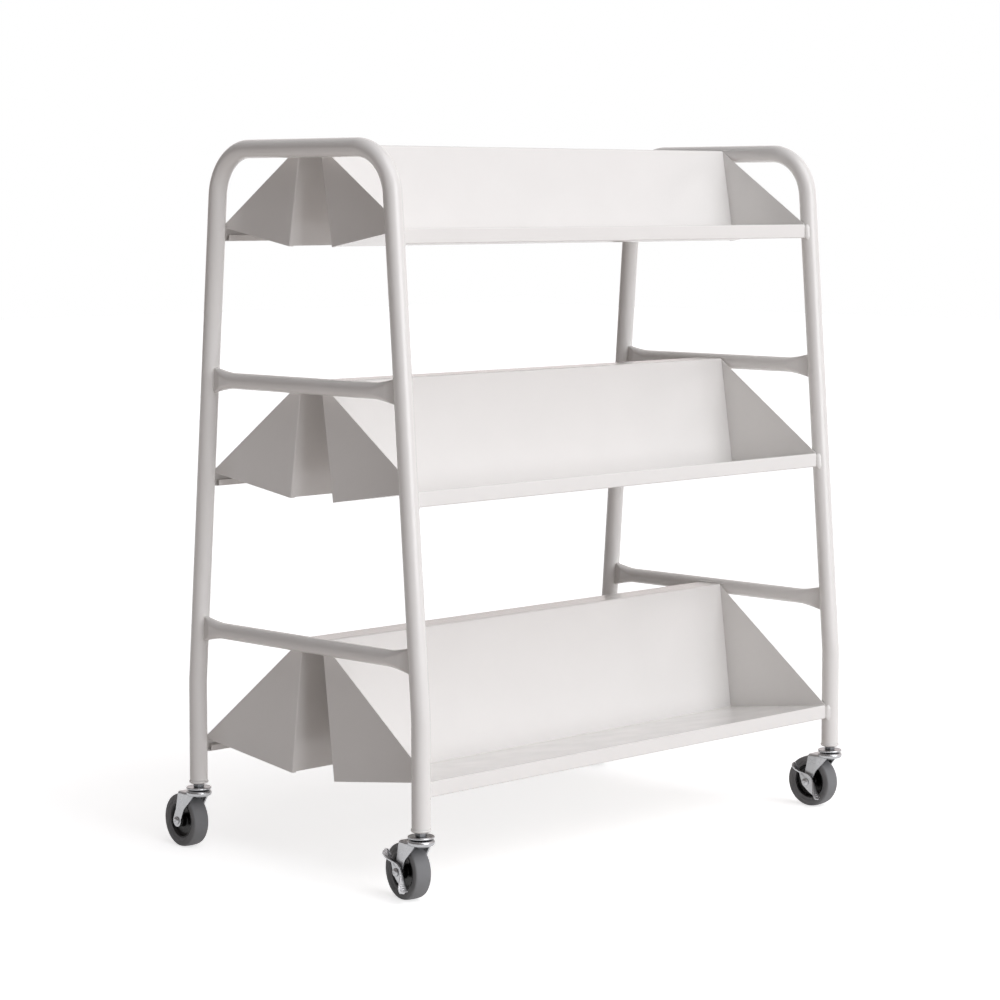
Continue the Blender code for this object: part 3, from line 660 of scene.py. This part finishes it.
def make_trough(sizes, level, ridge_half_length):
    """An edge drawn along the section of the front trough, folded, and given its thickness."""
    ridge_z, valley_z, lip_z, lip_y = shelf_lines(sizes, level)
    sheet_half = plate_half_length(sizes) - sizes.sheet - sizes.gap
    lip_half = lip_half_length(sizes)
    return_half = lip_half - sizes.lip_end
    lip_bottom = lip_z - sizes.lip_height
    inner_y = lip_y - sizes.lip_return
    notch_y = sizes.ridge_half - sizes.ridge_tab
    notch_z = lip_z - sizes.fold - sizes.gap
    section = [
        (sizes.gap / 2, ridge_z, ridge_half_length),
        (notch_y - MM, ridge_z, ridge_half_length),
        (notch_y, ridge_z, sheet_half),
        (sizes.ridge_half, ridge_z, sheet_half),
        (sizes.valley_half, valley_z, sheet_half),
        (lip_y, lip_z, sheet_half),
        (lip_y, notch_z, sheet_half),
        (lip_y, notch_z - MM, lip_half),
        (lip_y, lip_bottom, lip_half),
        (inner_y, lip_bottom, return_half),
        (inner_y, lip_bottom + sizes.lip_upturn, return_half),
    ]
    piece = start(bpy.ops.mesh.primitive_plane_add, size=2 * section[0][2])
    stretch((1, 0, 1), (0, 0, 0))
    bpy.ops.mesh.remove_doubles(threshold=MERGE)
    shift((MIDDLE.x, MIDDLE.y - section[0][0], section[0][1]))
    for (y, z, half), (next_y, next_z, next_half) in zip(section, section[1:]):
        draw((0, y - next_y, next_z - z))
        stretch((next_half / half, 1, 1), MIDDLE)
    face_along(Vector((0, 0, 1)))
    round_folds(sizes.fold, segments=4)
    thicken(piece, sizes.sheet)
    round_edges(piece, sizes.cut_edge)
    return piece


class TROLLEY_OT_troughs(bpy.types.Operator):
    """Folds the front troughs and turns a copy of each round for the rear"""
    bl_idname = "trolley.troughs"
    bl_label = "Troughs"

    def execute(self, context):
        sizes = context.scene.trolley_shelves
        frame_sizes = context.scene.trolley_end_frames
        paint = powder_coat(context.scene.trolley_finishes)
        for level in LEVELS:
            ridge_half_length = HOOP_X - ridge_bar_radius(frame_sizes, level) + sizes.ridge_overlap
            piece = make_trough(sizes, level, ridge_half_length)
            rear = copy_of(piece, HALF_TURN)
            for side, sheet in (("front", piece), ("rear", rear)):
                node = f"{level}_{side}_trough"
                finish(sheet, f"{node}_sheet", "frame", "shelf_paint", paint, node)
        return {"FINISHED"}


def crossing(point, way, other_point, other_way):
    """Where two lines in the plane of a trough's section cross."""
    gap = other_point - point
    share = gap.cross(other_way) / way.cross(other_way)
    return point + way * share


def make_end_plate(sizes, level, end):
    """A flat outline with a flange folded back along the hidden face of the back panel."""
    ridge_z, valley_z, lip_z, lip_y = shelf_lines(sizes, level)
    ridge = Vector((sizes.ridge_half, ridge_z))
    valley = Vector((sizes.valley_half, valley_z))
    lip = Vector((lip_y, lip_z))
    down = (valley - ridge).normalized()
    out = (lip - valley).normalized()
    behind = Vector((down.y, -down.x))
    below = Vector((out.y, -out.x))
    flange = ridge + behind * (2 * sizes.sheet + sizes.gap)
    floor = valley + below * sizes.sheet
    apex = Vector((0, ridge_z - sizes.fold - sizes.gap))
    tip = Vector((lip_y - sizes.sheet - sizes.gap, lip_z))
    level_way = Vector((1, 0))
    corners = [
        crossing(apex, level_way, flange, down),
        crossing(floor, out, flange, down),
        crossing(tip, Vector((0, 1)), floor, out),
        tip,
        crossing(apex, level_way, ridge, down),
    ]
    x = MIDDLE.x + end * plate_half_length(sizes)
    piece = outline([(x, MIDDLE.y - corner.x, corner.y) for corner in corners])
    fold_middle = (corners[0] + corners[1]) / 2
    pick("EDGE", lambda at: (Vector((MIDDLE.y - at.y, at.z)) - fold_middle).length < TINY)
    draw((-end * sizes.plate_flange, 0, 0))
    face_along(Vector((end, 0, 0)))
    round_folds(sizes.fold, segments=4)
    thicken(piece, sizes.sheet)
    round_edges(piece, sizes.cut_edge)
    return piece


class TROLLEY_OT_end_plates(bpy.types.Operator):
    """Folds the front end plates and turns a copy of each round for the opposite corner"""
    bl_idname = "trolley.end_plates"
    bl_label = "End Plates"

    def execute(self, context):
        sizes = context.scene.trolley_shelves
        paint = powder_coat(context.scene.trolley_finishes)
        opposite = {"left": "right", "right": "left"}
        for level in LEVELS:
            for end_name, end in ENDS.items():
                piece = make_end_plate(sizes, level, end)
                turned_round = copy_of(piece, HALF_TURN)
                front = f"{level}_front_{end_name}_end_plate"
                rear = f"{level}_rear_{opposite[end_name]}_end_plate"
                finish(piece, f"{front}_sheet", "frame", "shelf_paint", paint, front)
                finish(turned_round, f"{rear}_sheet", "frame", "shelf_paint", paint, rear)
        return {"FINISHED"}


def make_bead(height, half_width, half_thickness, ripples):
    """A weld bead along Z: rings drawn upwards that swell and shrink with each ripple."""
    rings = 4 * ripples
    sides = 16
    narrowing = 0.94
    ripple = 0.06
    piece = start(bpy.ops.mesh.primitive_circle_add, vertices=sides, radius=1.0, location=(0, 0, -height / 2))
    stretch((half_width, half_thickness, 1), (0, 0, -height / 2))
    size_now = 1.0
    for ring in range(rings + 1):
        share = 2 * ring / rings - 1
        size = (1 - narrowing * share ** 6) * (1 + ripple * math.cos(ring * math.pi / 2))
        z = height / 2 * share
        if ring:
            draw((0, 0, height / rings))
        stretch((size / size_now, size / size_now, 1), (0, 0, z))
        size_now = size
    for end in (-1, 1):
        pick("EDGE", lambda at: abs(at.z - end * height / 2) < TINY / 10)
        bpy.ops.mesh.edge_face_add()
    clean()
    only(piece)
    return piece


def join(pieces):
    """Joins pieces into one object."""
    only(pieces[0])
    for piece in pieces[1:]:
        piece.select_set(True)
    bpy.ops.object.join()
    return bpy.context.object


class TROLLEY_OT_welds(bpy.types.Operator):
    """Lays the weld beads that hold the lips on the legs and the ridges on the bars"""
    bl_idname = "trolley.welds"
    bl_label = "Welds"

    def execute(self, context):
        sizes = context.scene.trolley_shelves
        welds = context.scene.trolley_welds
        frame_sizes = context.scene.trolley_end_frames
        paint = powder_coat(context.scene.trolley_finishes)
        lip_length = sizes.lip_height + welds.lip_overrun
        ridge_length = 1.4 * sizes.ridge_half
        lip_bead = make_bead(lip_length, welds.lip_width, welds.lip_height, ripples=4)
        ridge_bead = make_bead(ridge_length, welds.ridge_width, welds.ridge_height, ripples=6)
        for level in LEVELS:
            ridge_z, _, lip_z, lip_y = shelf_lines(sizes, level)
            ridge_x = HOOP_X - ridge_bar_radius(frame_sizes, level) + welds.ridge_overlap
            lean = Matrix.Rotation(-splay(frame_sizes), 4, "X") if level != "bottom" else Matrix()
            beads = []
            for end in ENDS.values():
                lip_place = Vector((end * (HOOP_X - welds.lip_inset), -lip_y - welds.lip_proud,
                                    lip_z - lip_length / 2))
                lip_turn = lean @ Matrix.Rotation(-end * welds.lip_slant, 4, "Z")
                lip_end = Matrix.Translation(MIDDLE + lip_place) @ lip_turn
                ridge_place = Vector((end * ridge_x, -sizes.ridge_half / 2, ridge_z))
                ridge_turn = (Matrix.Rotation(math.pi / 2, 4, "X")
                              @ Matrix.Rotation(-end * welds.ridge_slant, 4, "Z"))
                ridge_end = Matrix.Translation(MIDDLE + ridge_place) @ ridge_turn
                for side in (Matrix(), HALF_TURN):
                    beads.append(copy_of(lip_bead, side @ lip_end))
                    beads.append(copy_of(ridge_bead, side @ ridge_end))
            finish(join(beads), f"{level}_weld_beads", "frame", "shelf_paint", paint)
        bpy.data.objects.remove(lip_bead)
        bpy.data.objects.remove(ridge_bead)
        return {"FINISHED"}


# Casters, modelled about the swivel axis with the axle along X and the trailing side at +Y

def caster_place(corner):
    """Where a caster stands and how far it is swivelled."""
    x, y, _ = JOINTS[f"{corner}_swivel"]["pos_m"]
    across = JOINTS[f"{corner}_roll"]["axis"]
    turn = math.atan2(across[1], across[0])
    return Matrix.Translation((x, y, 0)) @ Matrix.Rotation(turn, 4, "Z")


def fit_casters(master, corners, node, suffix, body, slot, material):
    """Copies a caster piece to its corners and removes the master."""
    for corner in corners:
        piece = copy_of(master, caster_place(corner))
        name = f"{corner}_{node}"
        finish(piece, f"{name}_{suffix}", body.format(corner), slot, material, name)
    bpy.data.objects.remove(master)


def make_insert():
    """The plug's rim below the tube, with a rounded foot, and its hidden shank."""
    profile = millimetres([(5.3, 132), (10.6, 132), (10.6, 97.6), (13.1, 97.6), (13.6, 96.6), (13.6, 95.4),
                           (13.0, 94.3), (11.6, 93.4), (8.6, 92.5), (5.3, 92.5)])
    piece = turned_ring(profile, sides=48)
    round_edges(piece, 0.3 * MM)
    return piece


def make_stem(sizes):
    """Threaded stem, hexagon nut, pin and riveted head."""
    top = 122.5
    turns = 14
    pitch = 2
    crest = 5.0
    root = 4.4
    pin = sizes.pin_radius / MM
    profile = [(0, top)]
    for turn in range(turns):
        z = top - pitch * turn
        profile += [(crest, z), (crest, z - 0.6), (root, z - 1.0), (root, z - 1.6)]
    profile += [(crest, 94), (crest, 84.0), (pin, 84.0), (pin, 75.9),
                (7.0, 75.9), (6.6, 73.4), (5.0, 72.4), (0, 72.4)]
    rod = turned(millimetres(profile), sides=24)
    nut = hexagon(sizes.stem_nut_radius, sizes.stem_nut_height, sizes.stem_nut_z, sizes.nut_edge,
                  sizes.stem_nut_turn)
    combine(rod, nut, "UNION")
    return rod


def make_cap(sizes):
    """Upper bearing cup with a sunk collar and a rolled rim."""
    rim = sizes.cap_radius / MM
    profile = [(5.3, 87.6), (8.6, 87.6), (10.4, 87.2), (12.4, 86.9), (14.2, 87.2), (rim - 1.9, 88.2),
               (rim - 0.9, 88.3), (rim - 0.2, 87.7), (rim, 86.7), (rim - 0.4, 85.8), (rim - 1.6, 85.0),
               (rim - 3.4, 84.4), (5.3, 84.3)]
    piece = turned_ring(millimetres(profile), sides=64)
    round_edges(piece, 0.25 * MM)
    return piece


class TROLLEY_OT_leg_feet(bpy.types.Operator):
    """Turns the leg inserts, stems and bearing cups and fits them under the legs"""
    bl_idname = "trolley.leg_feet"
    bl_label = "Leg Feet"

    def execute(self, context):
        sizes = context.scene.trolley_casters
        paint = powder_coat(context.scene.trolley_finishes)
        zinc = zinc_plate(context.scene.trolley_finishes)
        fit_casters(make_insert(), CORNERS, "leg_insert", "plug", "frame", "insert_paint", paint)
        # The stems and their nuts get zinc darkened with painted shade
        shade_darkened_zinc = zinc_darkened_as_painted_shade(context.scene.trolley_finishes)
        fit_casters(make_stem(sizes), CORNERS, "stem", "bolt", "frame", "zinc_plate", shade_darkened_zinc)
        fit_casters(make_cap(sizes), CORNERS, "swivel_cap", "cup", "frame", "zinc_plate", zinc)
        return {"FINISHED"}


def drill_for_axle(piece, sizes):
    drill(piece, sizes.axle_radius + sizes.gap, (0, sizes.trail, WHEEL_RADIUS), (0, math.pi / 2, 0))


def fork_face(sizes):
    """Distance from the wheel's middle to what is fitted on the outside of the fork."""
    return sizes.fork_inner + sizes.fork_sheet + sizes.gap


def fork_outline(sizes):
    """Side view of a fork leg, from the crown's rear corner round the foot to its front corner."""
    foot = Vector((sizes.trail, WHEEL_RADIUS))
    crease = sizes.crease_at / MM
    points = millimetres([(26.5, sizes.crown_z / MM), (32.6, 53)])
    for degrees in range(10, -191, -20):
        turn = math.radians(degrees)
        points.append(foot + sizes.fork_foot * Vector((math.cos(turn), math.sin(turn))))
    front = [(18.2, 45.4), (14.8, 52.5), (crease, 56.2), (8.6, 60.6), (4.0, 65.6), (-0.4, 70.8), (-4.4, 75.8),
             (-7, sizes.crown_z / MM), (crease, sizes.crown_z / MM)]
    return [Vector(point) for point in points + millimetres(front)]


def make_fork(sizes):
    """One leg outlined, creased and drawn over to the middle, mirrored, and joined to its bearing race."""
    outer = sizes.fork_inner + sizes.fork_sheet
    crease = sizes.crease_at
    points = fork_outline(sizes)
    piece = outline([(-outer, point.x, point.y) for point in points])
    pick("VERT", lambda at: abs(at.y - crease) < TINY)
    bpy.ops.mesh.vert_connect()
    for point in points:
        if point.x < crease - TINY:
            pick("VERT", lambda at: (Vector((at.y, at.z)) - point).length < TINY)
            shift(((crease - point.x) * math.tan(sizes.fork_crease), 0, 0))
    pick("EDGE", lambda at: abs(at.y - crease) < TINY and at.z < sizes.crown_z - TINY)
    bpy.ops.mesh.bevel(offset=sizes.crease_round, segments=3, affect="EDGES")
    pick("EDGE", lambda at: abs(at.z - sizes.crown_z) < TINY)
    draw((0, 0, 0))
    stretch((0, 1, 1), (0, 0, 0))
    face_along(Vector((-1, 0, 0)))
    modify(piece, "MIRROR", use_axis=(True, False, False), merge_threshold=MERGE)
    bpy.ops.object.mode_set(mode="EDIT")
    pick("EDGE", lambda at: abs(at.z - sizes.crown_z) < TINY and abs(at.x) > sizes.fork_inner - 5 * MM)
    bpy.ops.mesh.bevel(offset=sizes.fork_fold, segments=5, affect="EDGES")
    thicken(piece, sizes.fork_sheet)
    round_edges(piece, 0.4 * MM)
    rim = sizes.race_radius / MM
    race = [(0, 83.4), (rim - 3.0, 83.4), (rim - 1.5, 83.1), (rim - 0.4, 82.0), (rim, 80.2),
            (rim - 0.3, 78.2), (rim - 1.3, 76.7), (rim - 3.0, 76.0), (0, 76.0)]
    combine(piece, turned(millimetres(race), sides=64), "UNION")
    drill(piece, sizes.pin_radius + sizes.gap, (0, 0, sizes.crown_z))
    drill_for_axle(piece, sizes)
    split_large_faces(piece)
    return piece


class TROLLEY_OT_forks(bpy.types.Operator):
    """Presses the caster forks with their bearing races"""
    bl_idname = "trolley.forks"
    bl_label = "Forks"

    def execute(self, context):
        zinc = zinc_plate(context.scene.trolley_finishes)
        fork = make_fork(context.scene.trolley_casters)
        fit_casters(fork, CORNERS, "fork", "pressing", "{}_fork", "zinc_plate", zinc)
        return {"FINISHED"}


def make_axle(sizes, head_at):
    """Axle bolt with a domed head that has a shallow dimple."""
    radius = sizes.axle_radius
    head = sizes.head_radius
    thread_end = fork_face(sizes) + sizes.nut_height + sizes.axle_end
    profile = [(0, thread_end), (radius - 0.6 * MM, thread_end), (radius, thread_end - 0.6 * MM),
               (radius, -head_at), (head, -head_at), (head, -head_at - 0.8 * MM),
               (head - 0.8 * MM, -head_at - 1.9 * MM), (head - 2.2 * MM, -head_at - 2.6 * MM),
               (1.6 * MM, -head_at - 2.7 * MM), (1.0 * MM, -head_at - 2.1 * MM), (0, -head_at - 2.0 * MM)]
    piece = turned(profile, sides=40)
    return set_in_place(piece, along_x((0, sizes.trail, WHEEL_RADIUS)))


def make_axle_nut(sizes):
    """Hexagon nut with chamfered corners and its bore."""
    middle = fork_face(sizes) + sizes.nut_height / 2
    nut = hexagon(sizes.nut_radius, sizes.nut_height, middle, sizes.nut_edge)
    drill(nut, sizes.axle_radius + sizes.gap, (0, 0, middle))
    return set_in_place(nut, along_x((0, sizes.trail, WHEEL_RADIUS)))


class TROLLEY_OT_axles(bpy.types.Operator):
    """Turns the axle bolts and their nuts"""
    bl_idname = "trolley.axles"
    bl_label = "Axles"

    def execute(self, context):
        sizes = context.scene.trolley_casters
        zinc = zinc_plate(context.scene.trolley_finishes)
        plain = [corner for corner in CORNERS if corner not in BRAKED]
        pedal_face = fork_face(sizes) + sizes.pedal_sheet + sizes.gap
        for corners, head_at in ((plain, fork_face(sizes)), (BRAKED, pedal_face)):
            fit_casters(make_axle(sizes, head_at), corners, "axle", "bolt", "{}_fork", "zinc_plate", zinc)
        fit_casters(make_axle_nut(sizes), CORNERS, "axle_nut", "hexagon", "{}_fork", "zinc_plate", zinc)
        return {"FINISHED"}


def both_faces(profile):
    """A wheel profile from one face to the other, from its first half."""
    return profile + [(radius, -along) for radius, along in reversed(profile)]


def make_hub(sizes):
    """Dished hub with a boss, a web and a rim under the tyre."""
    rim = sizes.hub_radius / MM
    half = [(4.3, 14.2), (7.6, 14.2), (9.0, 13.0), (9.4, 6.2), (11.2, 5.0), (rim - 6.6, 5.0),
            (rim - 3.6, 6.4), (rim - 2.4, 9.0), (rim - 1.7, 9.6), (rim, 9.6)]
    piece = turned_ring(both_faces(millimetres(half)), sides=64)
    round_edges(piece, 0.5 * MM)
    return set_in_place(piece, along_x((0, sizes.trail, WHEEL_RADIUS)))


def make_tyre(sizes):
    """Tyre with a grooved side, rounded shoulders and a slightly crowned tread."""
    inner = (sizes.hub_radius + sizes.gap) / MM
    side = sizes.tyre_half / MM
    tread = WHEEL_RADIUS / MM
    half = [(inner, side - 2.2), (inner + 3.6, side - 1.7), (inner + 4.6, side - 0.4), (inner + 5.4, side),
            (tread - 3.2, side), (tread - 2.0, side - 0.3), (tread - 1.2, side - 1.0),
            (tread - 0.7, side - 2.2), (tread - 0.3, side - 4.8), (tread - 0.1, side - 7.4),
            (tread, side - 10.0)]
    piece = turned_ring(both_faces(millimetres(half)), sides=72)
    return set_in_place(piece, along_x((0, sizes.trail, WHEEL_RADIUS)))


class TROLLEY_OT_wheels(bpy.types.Operator):
    """Moulds the hubs and tyres"""
    bl_idname = "trolley.wheels"
    bl_label = "Wheels"

    def execute(self, context):
        sizes = context.scene.trolley_casters
        nylon = black_nylon(context.scene.trolley_finishes)
        rubber = grey_rubber(context.scene.trolley_finishes)
        fit_casters(make_hub(sizes), CORNERS, "hub", "moulding", "{}_wheel", "hub_nylon", nylon)
        fit_casters(make_tyre(sizes), CORNERS, "tyre", "ring", "{}_wheel", "tyre_rubber", rubber)
        return {"FINISHED"}


def make_pedal(sizes):
    """A leaf on the axle whose upper edge is drawn outwards into a flange with two foot pads."""
    leaf_x = -(fork_face(sizes) + sizes.pedal_sheet)
    axle = Vector((sizes.trail, WHEEL_RADIUS))
    # Millimetres behind the axle, above it, and the flange's depth there
    upper_edge = [(21.6, 27.0, 3.4), (20.4, 25.2, 7.2), (18.2, 21.8, 9.2), (14.6, 17.2, 7.4),
                  (9.4, 13.8, 4.2), (1.0, 12.2, 3.0), (-6.6, 10.4, 3.0), (-11.6, 6.4, 3.0),
                  (-14.6, 0.6, 3.6), (-17.0, -6.6, 6.0), (-19.8, -12.8, 9.8), (-22.4, -17.0, 12.0),
                  (-24.0, -19.0, 12.0), (-24.7, -19.8, 10.2), (-25.1, -20.3, 6.0)]
    lower_edge = [(-24.8, -21.4), (-21.6, -20.6), (-16.0, -19.4), (-8.0, -15.4), (-1.6, -10.8), (4.6, -5.2),
                  (8.6, 3.2), (11.0, 10.6), (14.0, 18.0), (18.6, 25.4)]
    # How far the flange's last points hang past the leaf's tip
    spoon = (0.8, 2.0, 2.5)
    rib_places = ((-21.2, -12.2), (-23.0, -14.9), (-24.9, -17.3))
    upper = [axle + Vector((u, z)) * MM for u, z, _ in upper_edge]
    lower = [axle + Vector((u, z)) * MM for u, z in lower_edge]
    piece = outline([(leaf_x, point.x, point.y) for point in upper + lower])
    middles = [(first + second) / 2 for first, second in zip(upper, upper[1:])]

    def on_edge(at):
        return min((Vector((at.y, at.z)) - middle).length for middle in middles) < TINY

    def pick_flange(point):
        pick("VERT", lambda at: (Vector((at.y, at.z)) - point).length < TINY and at.x < leaf_x - TINY)

    pick("EDGE", on_edge)
    draw((-MM, 0, 0))
    for point, (_, _, depth) in zip(upper, upper_edge):
        pick_flange(point)
        shift(((1 - depth) * MM, 0, 0))
    for past, point in zip(spoon, upper[-len(spoon):]):
        pick_flange(point)
        shift((0, -past * MM, -past * MM))
    face_along(Vector((-1, 0, 0)))
    pick("EDGE", lambda at: on_edge(at) and abs(at.x - leaf_x) < TINY)
    bpy.ops.mesh.bevel(offset=sizes.pedal_fold, segments=3, affect="EDGES")
    thicken(piece, sizes.pedal_sheet)
    round_edges(piece, 0.35 * MM)
    for u, z in rib_places:
        foot = axle + Vector((u, z)) * MM
        rib = start(bpy.ops.mesh.primitive_cylinder_add, vertices=16, radius=sizes.rib_radius,
                    depth=sizes.rib_length, rotation=(0, math.pi / 2, 0),
                    location=(leaf_x - sizes.rib_length, foot.x, foot.y))
        bpy.ops.mesh.bevel(offset=0.4 * sizes.rib_radius, segments=2, affect="EDGES")
        only(rib)
        combine(piece, rib, "UNION")
    drill_for_axle(piece, sizes)
    split_large_faces(piece)
    return piece


class TROLLEY_OT_brake_pedals(bpy.types.Operator):
    """Presses the brake pedals of the front casters"""
    bl_idname = "trolley.brake_pedals"
    bl_label = "Brake Pedals"

    def execute(self, context):
        zinc = zinc_plate(context.scene.trolley_finishes)
        pedal = make_pedal(context.scene.trolley_casters)
        fit_casters(pedal, BRAKED, "brake_pedal", "pressing", "{}_brake", "zinc_plate", zinc)
        return {"FINISHED"}


# Stage

def any_ray(tree, *kinds):
    """One for the given kinds of ray and nought for the others."""
    rays = add_node(tree, "ShaderNodeLightPath").outputs
    either = rays[kinds[0]]
    for kind in kinds[1:]:
        either = add_node(tree, "ShaderNodeMath", {0: either, 1: rays[kind]}, operation="MAXIMUM").outputs[0]
    return either


def studio_floor(finishes, settings):
    # Seamless paper: it looks white, keeps the trolley's contact shadow, and bounces warm light back up
    material = bpy.data.materials.new("white_paper_floor")
    material.use_nodes = True
    tree = material.node_tree
    tree.nodes.clear()
    bounce = add_node(tree, "ShaderNodeBsdfDiffuse", {"Color": shade(finishes.bounce, 1.0)})
    paper = add_node(tree, "ShaderNodeBsdfDiffuse", {"Color": shade(finishes.floor, 1.0)})
    lift = add_node(tree, "ShaderNodeEmission", {"Color": (1, 1, 1, 1), "Strength": settings.lift})
    shown = add_node(tree, "ShaderNodeAddShader", {0: paper.outputs[0], 1: lift.outputs[0]})
    seen = any_ray(tree, "Is Camera Ray", "Is Glossy Ray", "Is Transmission Ray")
    mix = add_node(tree, "ShaderNodeMixShader", {0: seen, 1: bounce.outputs[0], 2: shown.outputs[0]})
    add_node(tree, "ShaderNodeOutputMaterial", {"Surface": mix.outputs[0]})
    return material


def light_studio(tree, settings, tint):
    """A white backdrop for the camera, and a studio that is bright on one side for light and reflections."""
    tree.nodes.clear()
    way = add_node(tree, "ShaderNodeTexCoord").outputs["Generated"]
    towards = add_node(tree, "ShaderNodeVectorMath", {0: way, 1: settings.fill_from}, operation="DOT_PRODUCT")
    level = add_node(tree, "ShaderNodeMapRange",
                     {"Value": towards.outputs["Value"], "From Min": settings.dark_until,
                      "From Max": settings.bright_from, "To Min": settings.dark, "To Max": 1.0},
                     interpolation_type="SMOOTHSTEP")
    strength = add_node(tree, "ShaderNodeMapRange", {"Value": any_ray(tree, "Is Glossy Ray"),
                                                     "To Min": settings.fill, "To Max": 1.0})
    studio = add_node(tree, "ShaderNodeMath", {0: level.outputs["Result"], 1: strength.outputs["Result"]},
                      operation="MULTIPLY")
    lit = add_node(tree, "ShaderNodeBackground", {"Color": shade(tint, 1.0), "Strength": studio.outputs[0]})
    white = add_node(tree, "ShaderNodeBackground", {"Color": (1, 1, 1, 1), "Strength": 1.0})
    seen = any_ray(tree, "Is Camera Ray", "Is Transmission Ray")
    mix = add_node(tree, "ShaderNodeMixShader", {0: seen, 1: lit.outputs[0], 2: white.outputs[0]})
    add_node(tree, "ShaderNodeOutputWorld", {"Surface": mix.outputs[0]})


def hang_light(context, name, strength, spread, comes_from):
    lamp = bpy.data.lights.new(name, "SUN")
    lamp.color = context.scene.trolley_finishes.lamp
    lamp.energy = strength
    lamp.angle = spread
    softbox = bpy.data.objects.new(name, lamp)
    context.collection.objects.link(softbox)
    softbox.rotation_euler = Vector(comes_from).to_track_quat("Z", "Y").to_euler()


class TROLLEY_OT_stage(bpy.types.Operator):
    """Lays the floor and sets the light and the camera"""
    bl_idname = "trolley.stage"
    bl_label = "Stage"

    def execute(self, context):
        settings = context.scene.trolley_stage
        finishes = context.scene.trolley_finishes
        floor = start(bpy.ops.mesh.primitive_plane_add, size=FLOOR_SIZE)
        only(floor)
        floor.name = "studio_floor"
        floor.data.materials.append(studio_floor(finishes, settings))

        world = bpy.data.worlds.new("white_studio")
        context.scene.world = world
        world.use_nodes = True
        light_studio(world.node_tree, settings, finishes.fill)

        hang_light(context, "high_softbox", settings.key, settings.key_spread, settings.key_from)
        hang_light(context, "low_softbox", settings.front, settings.front_spread, settings.front_from)

        camera = bpy.data.cameras.new("camera")
        camera.sensor_width = SENSOR_WIDTH
        camera.lens = settings.focal
        camera.shift_y = settings.shift
        view = bpy.data.objects.new("camera", camera)
        context.collection.objects.link(view)
        view.location = MIDDLE + Vector(settings.camera_place)
        view.rotation_euler = (math.pi / 2 - settings.camera_pitch, 0, -settings.camera_yaw)
        context.scene.camera = view
        context.scene.view_settings.view_transform = "Standard"
        return {"FINISHED"}


class TROLLEY_PT_pieces(bpy.types.Panel):
    """Lists the trolley's pieces in the order in which they are made"""
    bl_idname = "TROLLEY_PT_pieces"
    bl_label = "Book Trolley"
    bl_space_type = "VIEW_3D"
    bl_region_type = "UI"
    bl_category = "Trolley"

    def draw(self, context):
        for operator in OPERATORS:
            self.layout.operator(operator.bl_idname)


GROUPS = {
    "trolley_end_frames": EndFrameSizes,
    "trolley_shelves": ShelfSizes,
    "trolley_welds": WeldSizes,
    "trolley_casters": CasterSizes,
    "trolley_finishes": Finishes,
    "trolley_stage": StageSettings,
}
OPERATORS = (
    TROLLEY_OT_end_frames,
    TROLLEY_OT_troughs,
    TROLLEY_OT_end_plates,
    TROLLEY_OT_welds,
    TROLLEY_OT_leg_feet,
    TROLLEY_OT_forks,
    TROLLEY_OT_axles,
    TROLLEY_OT_wheels,
    TROLLEY_OT_brake_pedals,
    TROLLEY_OT_stage,
)


def register():
    for name, group in GROUPS.items():
        bpy.utils.register_class(group)
        setattr(bpy.types.Scene, name, PointerProperty(type=group))
    for operator in OPERATORS:
        bpy.utils.register_class(operator)
    bpy.utils.register_class(TROLLEY_PT_pieces)


def unregister():
    bpy.utils.unregister_class(TROLLEY_PT_pieces)
    for operator in reversed(OPERATORS):
        bpy.utils.unregister_class(operator)
    for name, group in reversed(GROUPS.items()):
        delattr(bpy.types.Scene, name)
        bpy.utils.unregister_class(group)


def main():
    register()
    bpy.ops.trolley.end_frames()
    bpy.ops.trolley.troughs()
    bpy.ops.trolley.end_plates()
    bpy.ops.trolley.welds()
    bpy.ops.trolley.leg_feet()
    bpy.ops.trolley.forks()
    bpy.ops.trolley.axles()
    bpy.ops.trolley.wheels()
    bpy.ops.trolley.brake_pedals()
    bpy.ops.trolley.stage()


if __name__ == "__main__":
    main()
